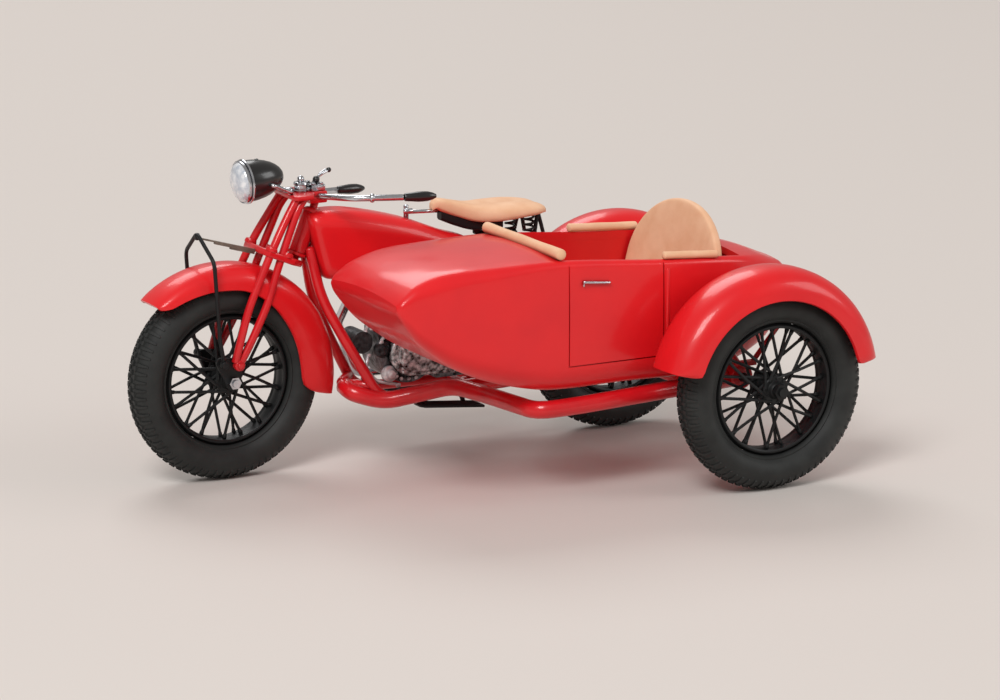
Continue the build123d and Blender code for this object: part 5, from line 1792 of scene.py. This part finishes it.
@dataclass(frozen=True)
class Engine:
    """The V-twin's barrels, covers, pipes and small parts, about the crankshaft.

    Args:
        shaft: the crankshaft's (x, z).
        lean_deg: how far each cylinder leans from the vertical.
        barrel_r: a barrel's radius between the fins.
        fin_r: the fins' radius.
        foot: from the crankshaft to a cylinder's foot.
        top: from the crankshaft to the top of its head.
        case_side: the crankcase's left face.
        gear: the (x, z) of the gearbox's end of the primary case.
        fins: how many fins a barrel has.
        fin_pitch: from one fin to the next.
        cover_r: the primary cover's radius at the crankshaft and at the gearbox.
        tappets: the middle of each pushrod's union, front to back.
        pipes: the oil and fuel pipes.
        bolt_circle: (number, radius) of the bolt heads round the crankcase.
        heads: how many small screw heads and unions there are on the case's side.
        head_area: (lowest x, highest x, lowest z, highest z) of where they sit.
        pumps: the place of the bright pump and of the black cap.
        pump_profile: (radius, distance from its foot) of either.
    """

    shaft: Pair = (-14.6, 8.25)
    lean_deg: float = 21.0
    barrel_r: float = 1.0
    fin_r: float = 1.44
    foot: float = 2.55
    top: float = 5.55
    case_side: float = 1.67
    gear: Pair = (-18.5, 7.7)
    fins: int = 6
    fin_pitch: float = 0.4
    cover_r: Pair = (1.75, 1.35)
    tappets: Path = (
        (-12.4, 1.2, 10.6), (-13.0, 1.35, 10.9), (-15.9, 1.35, 10.9), (-16.6, 1.2, 10.6))
    pipes: tuple[Path, ...] = (
        ((-11.4, 1.25, 8.3), (-11.0, 1.6, 7.4), (-11.8, 1.8, 6.3), (-13.6, 1.75, 5.9)),
        ((-11.2, 1.1, 10.1), (-11.6, 1.7, 11.3), (-13.2, 1.9, 11.6), (-14.4, 1.8, 12.2)),
        ((-12.2, 1.75, 9.3), (-12.6, 2.1, 10.2), (-13.6, 2.0, 10.6)),
        ((-10.6, 0.6, 8.9), (-10.3, 1.1, 7.7), (-10.9, 1.3, 6.7)))
    bolt_circle: tuple[int, float] = (10, 2.08)
    heads: int = 26
    head_area: tuple[float, ...] = (-15.6, -11.3, 6.2, 10.4)
    pumps: Ends = ((-12.9, 1.6, 6.8), (-12.3, 1.5, 8.7))
    pump_profile: Line = (
        (0.0, 0.0), (0.62, 0.0), (0.66, 0.08), (0.62, 0.34), (0.4, 0.42), (0.3, 0.62), (0.0, 0.66))

    def barrel(self) -> Mesh:
        """One finned barrel with its head, standing on the crankshaft's axis.

        Returns:
            The closed mesh.
        """
        inner, outer = self.barrel_r, self.fin_r
        profile = [(0.0, self.foot), (inner + 0.12, self.foot), (inner + 0.12, self.foot + 0.2)]
        for i in range(self.fins):
            z = self.foot + 0.34 + i * self.fin_pitch
            profile += [(inner, z - 0.06), (outer - 0.04, z), (outer, z + 0.05), (outer - 0.04, z + 0.1),
                        (inner, z + 0.16)]
        profile += [(inner, self.top - 0.3), (inner - 0.1, self.top - 0.08), (0.4, self.top),
                    (0.0, self.top)]
        return lathe(profile, 40)

    def barrels(self) -> None:
        """Makes both cylinders, each cut off at the middle plane where they meet."""
        x, z = self.shaft
        for name, way in (("front", 1), ("rear", -1)):
            place = Matrix.Translation((x, 0, z)) @ Matrix.Rotation(way * radians(self.lean_deg), 4, "Y")
            made = Mesh().add(self.barrel(), place).make(
                name + "_finned_barrel", BLACK_CASTING, Body.MACHINE, [name + "_cylinder"], sharp_deg=30)
            near, far = x + way * 0.01, x - way * 12
            cut(made, block((min(near, far), -4, z - 2), (max(near, far), 4, z + 9)))
            soften(made, 30)

    def primary(self) -> Mesh:
        """The primary case's cover with its screws and raised face, in the X and Z plane.

        Returns:
            Its mesh.
        """
        (x0, z0), (x1, z1) = self.shaft, self.gear
        turn = atan2(z1 - z0, x1 - x0)
        r0, r1 = self.cover_r
        front = [(x0 + r0 * cos(a), z0 + r0 * sin(a))
                 for a in (turn - pi / 2 - pi * i / 14 for i in range(15))]
        rear = [(x1 + r1 * cos(a), z1 + r1 * sin(a))
                for a in (turn + pi / 2 - pi * i / 12 for i in range(13))]
        made = slab(front + rear, 0.52, 0.14)
        middle = Vector(((x0 + x1) / 2, (z0 + z1) / 2))
        inner = [tuple(middle + (Vector(p) - middle) * 0.84) for p in front + rear]
        made.add(slab(inner, 0.62, 0.16))
        for p in (front + rear)[::3]:
            place = middle + (Vector(p) - middle) * 0.925
            made.add(slab(ring_of(8, 0.13), 0.62, 0.05), Matrix.Translation((place.x, place.y, 0)))
        return Mesh().add(made, sideways(0.0, self.case_side + 0.02, 0.0))

    def small_parts(self) -> Mesh:
        """Bright pipes, unions, tappets and screw heads that crowd round the case.

        Returns:
            Their mesh.
        """
        rng = random.Random(12)
        x, z = self.shaft
        made = Mesh()
        for px, py, pz in self.tappets:
            tilt = 0.25 if px > x else -0.25
            made.add(rod((px, py, pz - 0.5), (px + tilt, py, pz + 0.9), 0.2, 12))
            made.add(slab(ring_of(6, 0.27), 0.24, 0.05), Matrix.Translation((px, py, pz - 0.1)))
        for line in self.pipes:
            made.add(tube(rounded_line(line, 0.5), 0.13, 10))
            for point in (line[0], line[-1]):
                made.add(rod(point, (point[0], point[1] + 0.16, point[2] - 0.1), 0.22, 10))
        bolts, radius = self.bolt_circle
        for i in range(bolts):
            turn = radians(360 / bolts * i + rng.uniform(-4, 4))
            px, pz = x + radius * cos(turn), z + radius * sin(turn)
            made.add(slab(ring_of(6, 0.17), 0.16, 0.04), sideways(px, self.case_side - 0.04, pz))
        for _ in range(self.heads):
            px, pz = rng.uniform(*self.head_area[:2]), rng.uniform(*self.head_area[2:])
            place = Matrix.Translation((px, self.case_side - 0.05 + rng.uniform(0.0, 0.2), pz))
            size = rng.uniform(0.1, 0.2)
            head = lathe([(0.0, 0.0), (size, 0.0), (size, 0.12), (0.6 * size, 0.22), (0.0, 0.25)], 10)
            made.add(head, place @ OUTBOARD)
        return made

    def pump(self, place: Point) -> Mesh:
        """Returns: a stepped round cap that faces the sidecar, such as the oil pump's."""
        return Mesh().add(lathe(self.pump_profile, 24), Matrix.Translation(place) @ OUTBOARD)

    def build(self) -> None:
        """Makes the engine's pieces."""
        self.barrels()
        self.primary().make("primary_cover", CAST_METAL, Body.MACHINE, ["primary_case"])
        bright, black = self.pumps
        # The small parts and the bright pump wear near-white metal, partly a painted highlight.
        self.small_parts().add(self.pump(bright)).make("engine_small_parts", BARE_METAL_AND_HIGHLIGHT, Body.MACHINE)
        self.pump(black).make("black_pump_cap", BLACK_CASTING, Body.MACHINE)


@dataclass(frozen=True)
class Footboards:
    """A thin board on each side below the cradle, its toes the higher end.

    Args:
        middle: the left board's middle.
        length: along the machine.
        width: across it.
        slope_deg: how far its rear end hangs.
        ribs: how many ribs it has.
        rib_pitch: from one rib to the next.
        bracket_x: each bracket's place, ahead of the middle.
        cradle: the (y, z) where a bracket meets the cradle.
    """

    middle: Point = (-17.2, 3.05, 4.2)
    length: float = 5.4
    width: float = 1.6
    slope_deg: float = 6.0
    ribs: int = 5
    rib_pitch: float = 0.28
    bracket_x: Pair = (1.6, -1.6)
    cradle: Pair = (1.85, 4.85)

    def build(self) -> None:
        """Makes both boards with their ribs and brackets."""
        x, y, z = self.middle
        half, wide = self.length / 2, self.width / 2
        plan = [(-half, -wide), (half - 0.3, -wide), (half, -wide + 0.35), (half, wide - 0.35),
                (half - 0.3, wide), (-half, wide)]
        made = Mesh()
        for side in (1, -1):
            board = slab(plan, 0.2, 0.06)
            for i in range(self.ribs):
                across = (i - self.ribs // 2) * self.rib_pitch
                board.add(rod((-half + 0.3, across, 0.2), (half - 0.4, across, 0.2), 0.06, 8))
            slope = Matrix.Rotation(-radians(self.slope_deg), 4, "Y")
            made.add(board, Matrix.Translation((x, side * y, z - 0.1)) @ slope)
            hold_y, hold_z = self.cradle
            for dx in self.bracket_x:
                start = (x + dx, side * (y - wide + 0.25), z + 0.1 * dx)
                made.add(rod(start, (x + dx, side * hold_y, hold_z), 0.18, 10))
        made.make("ribbed_footboards", BLACK_SATIN, Body.MACHINE, ["footboards"])


@dataclass(frozen=True)
class Chassis:
    """The sidecar's tubular chassis, with the front member that runs beside the cradle.

    Args:
        outer: the outer rail, from beside the cradle to the wheel.
        outer_r: its radius.
        rods: (start, end, radius) of the straight members: the clamp on the cradle, the lugs to both
            down tubes, the inner rail, the rear member and the strut to the seat tube.
        wheel: the sidecar axle's (x, z).
        hub: (radius, thickness) of the boss that holds the axle, and its inner face's y.
        mounts: the (x, y) of the posts under the body.
        mount_z: the posts' foot and top.
    """

    outer: Path = (
        (-9.75, 0.1, 6.0), (-9.85, 1.5, 5.6), (-12.0, 2.6, 4.92), (-14.5, 4.0, 5.6),
        (-16.0, 6.2, 6.45), (-16.9, 10.0, 6.4), (-16.95, 17.45, 6.8), (-20.5, 17.5, 6.85),
        (-33.8, 17.5, 7.4))
    outer_r: float = 0.65
    rods: tuple[tuple[Point, Point, float], ...] = (
        ((-12.3, 1.4, 5.0), (-12.3, 2.5, 5.0), 0.55),
        ((-9.8, 0.15, 6.0), (-11.3, 1.95, 6.1), 0.42),
        ((-9.8, -0.15, 6.0), (-11.3, -1.95, 6.1), 0.42),
        ((-16.4, 6.7, 6.45), (-30.5, 6.7, 6.9), 0.48),
        ((-30.5, 17.5, 7.2), (-30.5, 2.7, 6.9), 0.48),
        ((-22.4, 6.6, 6.8), (-21.1, 0.3, 13.0), 0.4))
    wheel: Pair = (-33.8, 7.6)
    hub: Point = (0.93, 1.35, 17.0)
    mounts: Line = ((-18.8, 6.8), (-29.1, 6.8), (-29.3, 17.4))
    mount_z: Pair = (6.8, 8.2)

    def build(self) -> None:
        """Makes the chassis and hangs it on the machine."""
        made = tube(rounded_line(self.outer, 1.5, 8), self.outer_r, 20)
        for start, end, radius in self.rods:
            made.add(rod(start, end, radius))
        (x, z), (radius, thick, y) = self.wheel, self.hub
        made.add(slab(ring_of(32, radius), thick, 0.15), sideways(x, y, z))
        low, top = self.mount_z
        for px, py in self.mounts:
            made.add(rod((px, py, low), (px, py, top), 0.32))
        made.make("tubular_sidecar_chassis", RED_TUBE, Body.MACHINE, ["sidecar_chassis"])


# ---- saddle and upholstery
@dataclass(frozen=True)
class Saddle:
    """The pan saddle: a dished, crowned cover over a black pan, on its springs.

    Args:
        top_line: (x, z) of the cover's upper edge, nose to cantle.
        plan: (x, half width).
        thick_line: (x, thickness).
        pan: (x, half width, bottom z, top z) of the black pan, front to back.
        sag: (how far the cover's edges hang, its middle groove's depth, the groove's half width).
        spring: (x, y) of the left coil.
        coil: (radius, turns, foot z, height) of a coil.
        legs: how far behind the coil each rod of the left leg stands, mirrored to the right.
        post: both ends of the post on the seat tube.
        nose: the ends of the bright rod at the nose, and of its two cross pieces.
    """

    top_line: Line = (
        (-17.45, 19.15), (-17.8, 19.46), (-19.2, 19.2), (-20.6, 18.88), (-22.5, 18.78), (-24.4, 18.72),
        (-26.0, 18.5), (-26.8, 18.15))
    plan: Line = (
        (-17.45, 0.35), (-17.8, 0.62), (-19.4, 1.05), (-21.0, 1.9), (-22.6, 2.45), (-24.4, 2.5),
        (-25.6, 2.2), (-26.5, 1.45), (-26.8, 0.8))
    thick_line: Line = (
        (-17.45, 0.6), (-18.2, 1.05), (-19.6, 1.3), (-21.6, 1.35), (-23.6, 1.15), (-25.4, 0.85),
        (-26.8, 0.45))
    pan: tuple[tuple[float, float, float, float], ...] = (
        (-18.1, 0.35, 17.75, 18.5), (-19.0, 0.68, 17.35, 18.3), (-20.3, 1.05, 16.92, 18.0),
        (-21.4, 1.3, 16.85, 17.9), (-22.8, 1.45, 16.9, 17.9))
    sag: Point = (0.16, 0.16, 0.4)
    spring: Pair = (-25.0, 1.5)
    coil: tuple[float, int, float, float] = (0.36, 5, 15.75, 2.1)
    legs: Pair = (0.35, 1.3)
    post: Ends = ((-21.3, 0.0, 16.33), (-21.3, 0.0, 17.7))
    nose: tuple[Ends, ...] = (
        ((-15.2, 0.0, 18.62), (-18.3, 0.0, 18.45)), ((-15.3, 0.0, 17.9), (-15.3, 0.0, 19.2)),
        ((-14.9, 0.35, 18.75), (-15.7, 0.35, 18.75)))

    def cover(self) -> Mesh:
        """The dished cover, with thick flanks that hang a little.

        Returns:
            The closed mesh.
        """
        top, plan, thick = eased(self.top_line), eased(self.plan), eased(self.thick_line)
        first, last, steps, round_steps = self.top_line[0][0], self.top_line[-1][0], 44, 28
        hang, groove, groove_w = self.sag
        rows = []
        for i in range(steps + 1):
            x = first + (last - first) * (0.5 - 0.5 * cos(pi * i / steps))
            half, depth = max(plan(x), 0.15), thick(x)
            full = min(half / 2.0, 1.0)
            row = []
            for j in range(round_steps):
                t = 2 * pi * j / round_steps
                c, sn = cos(t), sin(t)
                y = half * copysign(abs(c) ** 0.75, c)
                z = top(x) - depth / 2 + depth / 2 * copysign(abs(sn) ** 0.6, sn)
                droop = hang * (y / max(half, 1.0)) ** 4 * full
                dish = groove * exp(-(y / groove_w) ** 2) * full if sn > 0 else 0.0
                row.append(Vector((x, y, z - droop - dish)))
            rows.append(row)
        return solid(rows)

    def tray(self) -> Mesh:
        """The black pan under the front half of the cover.

        Returns:
            The closed mesh.
        """
        half, low, top = (eased([(row[0], row[k]) for row in self.pan]) for k in (1, 2, 3))
        first, last, steps = self.pan[0][0], self.pan[-1][0], 20
        rows = []
        for i in range(steps + 1):
            x = first + (last - first) * i / steps
            rows.append([Vector((x, y, z)) for y, z in rounded_box(half(x), low(x), top(x), 0.22)])
        return solid(rows)

    def under(self) -> Mesh:
        """The pan, the coils and the rods that carry them.

        Returns:
            Their mesh.
        """
        made = self.tray()
        (x, y), (r, turns, foot, rise) = self.spring, self.coil
        for side in (1, -1):
            coil = []
            for t in (2 * pi * i / 12 for i in range(12 * turns + 1)):
                z = foot + rise * t / (2 * pi * turns)
                coil.append(Vector((x + r * cos(t), side * y + r * sin(t), z)))
            made.add(tube(coil, 0.1, 7))
            arm = [(-21.5, side * 0.2, 16.5), (-23.2, side * y, foot), (x - 0.5, side * y, foot - 0.05)]
            made.add(tube(rounded_line(arm, 0.6), 0.2, 10))
            made.add(rod((x - 0.6, side * y, foot - 0.05), (x + 0.5, side * y, foot - 0.05), 0.3, 12))
            for back in self.legs:
                top = (x - 0.8, side * (y - 0.1), foot + rise + 0.1)
                made.add(rod(top, (x - back, side * (y + 0.1), foot + 0.05), 0.16, 8))
        made.add(rod(*self.post, 0.32))
        return made

    def build(self) -> None:
        """Makes the cover, the pan with its springs and the bright nose rod."""
        self.cover().make("dished_saddle_cover", TAN_PAINT, Body.MACHINE, ["saddle"], sharp_deg=60)
        self.under().make("saddle_pan_and_springs", BLACK_SATIN, Body.MACHINE, ["saddle_frame"])
        nose = Mesh()
        for (start, end), radius in zip(self.nose, (0.15, 0.2, 0.2)):
            nose.add(rod(start, end, radius, 12))
        nose.make("saddle_nose_rod", BRIGHT_PLATE, Body.MACHINE)


@dataclass(frozen=True)
class Upholstery:
    """The cockpit's cushion, upright back and edge rolls, all painted castings on a model.

    Args:
        back_x: foot of the back's rear face.
        back_z: its foot's height.
        half_w: half its width.
        rise: from its foot to where the arch springs.
        height: from its foot to its top.
        thick: its thickness.
        lean_deg: how far it leans back.
        yaw_deg: how far it is turned.
        back_off: how far its middle is from the cushion's.
        scuttle_r: radius of the roll on the scuttle.
        roll_inset: how far the side rolls lie within the box of the rolls.
        side_rolls: (front x, front z, rear x, rear z, radius) of the right and of the left roll.
    """

    back_x: float = -30.15
    back_z: float = 9.5
    half_w: float = 5.46
    rise: float = 5.7
    height: float = 10.85
    thick: float = 0.72
    lean_deg: float = 14.0
    yaw_deg: float = 6.5
    back_off: float = 0.12
    scuttle_r: float = 0.42
    roll_inset: float = 0.42
    side_rolls: tuple[tuple[float, ...], ...] = (
        (-25.4, 17.62, -31.4, 17.22, 0.32), (-26.95, 17.48, -31.6, 17.12, 0.29))

    def back(self, middle_y: float) -> Mesh:
        """The arched back with softened edges and a gently swelling face.

        Args:
            middle_y: where its middle stands.

        Returns:
            The closed mesh.
        """
        arch = [(self.half_w * cos(t), self.rise + (self.height - self.rise) * sin(t))
                for t in (pi * i / 36 for i in range(37))]
        outline = [(self.half_w, 0.0), *arch, (-self.half_w, 0.0)]
        foot = Matrix.Translation((self.back_x, middle_y, self.back_z))
        yaw = Matrix.Rotation(radians(self.yaw_deg), 4, "Z")
        lean = Matrix.Rotation(-radians(self.lean_deg), 4, "Y")
        upright = Matrix(((0, 0, 1, 0), (1, 0, 0, 0), (0, 1, 0, 0), (0, 0, 0, 1)))
        return Mesh().add(slab(outline, self.thick, 0.24, crown=0.08), foot @ yaw @ lean @ upright)

    def build(self) -> None:
        """Makes the back, the cushion and the rolls."""
        low, high = working_box("seat_cushion")
        middle = (low + high) / 2
        self.back(middle.y + self.back_off).make(
            "arched_seat_back", TAN_PAINT, Body.MACHINE, ["seat_back"], sharp_deg=60)
        long, wide = (high.x - low.x) / 2, (high.y - low.y) / 2
        plan = [(long * x, wide * y) for x, y in (
            (1, 0.9), (0.9, 1), (-0.9, 1), (-1, 0.9), (-1, -0.9), (-0.9, -1), (0.9, -1), (1, -0.9))]
        pad = slab(plan, high.z - low.z - 0.2, 0.35, crown=0.18)
        Mesh().add(pad, Matrix.Translation((middle.x, middle.y, low.z))).make(
            "swelling_seat_cushion", TAN_PAINT, Body.MACHINE, ["seat_cushion"], sharp_deg=60)
        low, high = working_box("scuttle_roll")
        x, z = (low.x + high.x) / 2, low.z + self.scuttle_r
        self.roll((x, low.y, z), (x, high.y, z), self.scuttle_r).make(
            "scuttle_edge_roll", TAN_PAINT, Body.MACHINE, ["scuttle_roll"], sharp_deg=60)
        low, high = working_box("coaming_rolls")
        rolls = Mesh()
        sides = (low.y + self.roll_inset, high.y - self.roll_inset)
        for y, (x0, z0, x1, z1, radius) in zip(sides, self.side_rolls):
            rolls.add(self.roll((x0, y, z0), (x1, y, z1), radius))
        rolls.make("coaming_edge_rolls", TAN_PAINT, Body.MACHINE, ["coaming_rolls"], sharp_deg=60)

    @staticmethod
    def roll(start: Point, end: Point, radius: float, steps: int = 24) -> Mesh:
        """Returns: a padded roll between two points, a little uneven along its length."""
        line = [Vector(start).lerp(Vector(end), i / steps) for i in range(steps + 1)]
        return tube(line, lambda s: radius * (0.97 + 0.03 * cos(14 * s)), 20)


@dataclass(frozen=True)
class TailLamp:
    """The small lamp that stands on the rear fender's tail.

    Args:
        profile: (radius, distance from its foot).
    """

    profile: Line = (
        (0.0, 0.0), (0.34, 0.0), (0.5, 0.35), (0.55, 1.0), (0.55, 1.45), (0.5, 1.55), (0.0, 1.58))

    def build(self) -> None:
        """Makes the lamp along the CAD lamp's box."""
        low, high = working_box("tail_lamp")
        foot = Vector((high.x - 0.35, 0.0, low.z + 0.55))
        end = Vector((low.x + 0.05, 0.0, high.z - 0.6))
        Mesh().add(lathe(self.profile, 24), onto(foot, end - foot)).make(
            "tail_lamp_body", BLACK_SATIN, Body.MACHINE, ["tail_lamp"])


@dataclass(frozen=True)
class FenderStays:
    """The bracket on the chassis and the two stays that carry the sidecar's fender.

    Args:
        wheel: the sidecar axle's (x, z).
        foot_y: the bracket's middle, outside the chassis rail.
        top_y: where the stays enter the fender's inner side.
        spread: how far each stay's top is from the axle, along the machine.
        top_z: the height of the stays' tops.
        radius: the stays' radius.
    """

    wheel: Pair = (-33.8, 7.6)
    foot_y: float = 18.7
    top_y: float = 19.85
    spread: float = 4.6
    top_z: float = 14.4
    radius: float = 0.2

    def build(self) -> None:
        """Makes the bracket and its stays, and hangs them on the machine."""
        x, z = self.wheel
        made = block((x - 0.8, self.foot_y - 0.3, z + 0.97), (x + 0.8, self.foot_y + 0.3, z + 1.32))
        for way in (1, -1):
            made.add(rod((x + 0.12 * way * self.spread, self.foot_y, z + 1.1),
                         (x + way * self.spread, self.top_y, self.top_z), self.radius))
        made.make("sidecar_fender_stays", RED_TUBE, Body.MACHINE, ["fender_stays"])


# ---- main
def dress_kept_nodes() -> None:
    """Gives each CAD node that stays in view its finish."""
    dress(BLACK_SATIN, "axle_links", "rear_axle", "sidecar_axle", "drive_chain")
    dress(BRIGHT_PLATE, "exhaust", "front_axle")
    dress(DARK_CASE, "crankcase")
    dress(DARK_CASE, "gearbox", edge_mm=0.25)
    dress(CAST_METAL, "carburettor")
    dress(BLACK_CASTING, "magneto")


def main() -> None:
    """Builds the studio and every piece, in order."""
    logging.basicConfig(level=logging.INFO, format="%(name)s: %(message)s")
    Studio().build()
    CameraSpec().build()
    dress_kept_nodes()
    Wheel("front", Body.FRONT_WHEEL).build()
    Wheel("rear", Body.REAR_WHEEL, sprocket_r=1.7).build()
    Wheel("sidecar", Body.SIDECAR_WHEEL).build()
    Fork().build()
    ForkSpring().build()
    FRONT_FENDER.build(Body.STEERING)
    Headlamp().build()
    Controls().build()
    Frame().build()
    Tank().build()
    Engine().build()
    Footboards().build()
    Saddle().build()
    REAR_FENDER.build(Body.MACHINE)
    TailLamp().build()
    Chassis().build()
    SidecarBody().build()
    Upholstery().build()
    CAR_FENDER.build(Body.MACHINE)
    FenderStays().build()


if __name__ == "__main__":
    main()
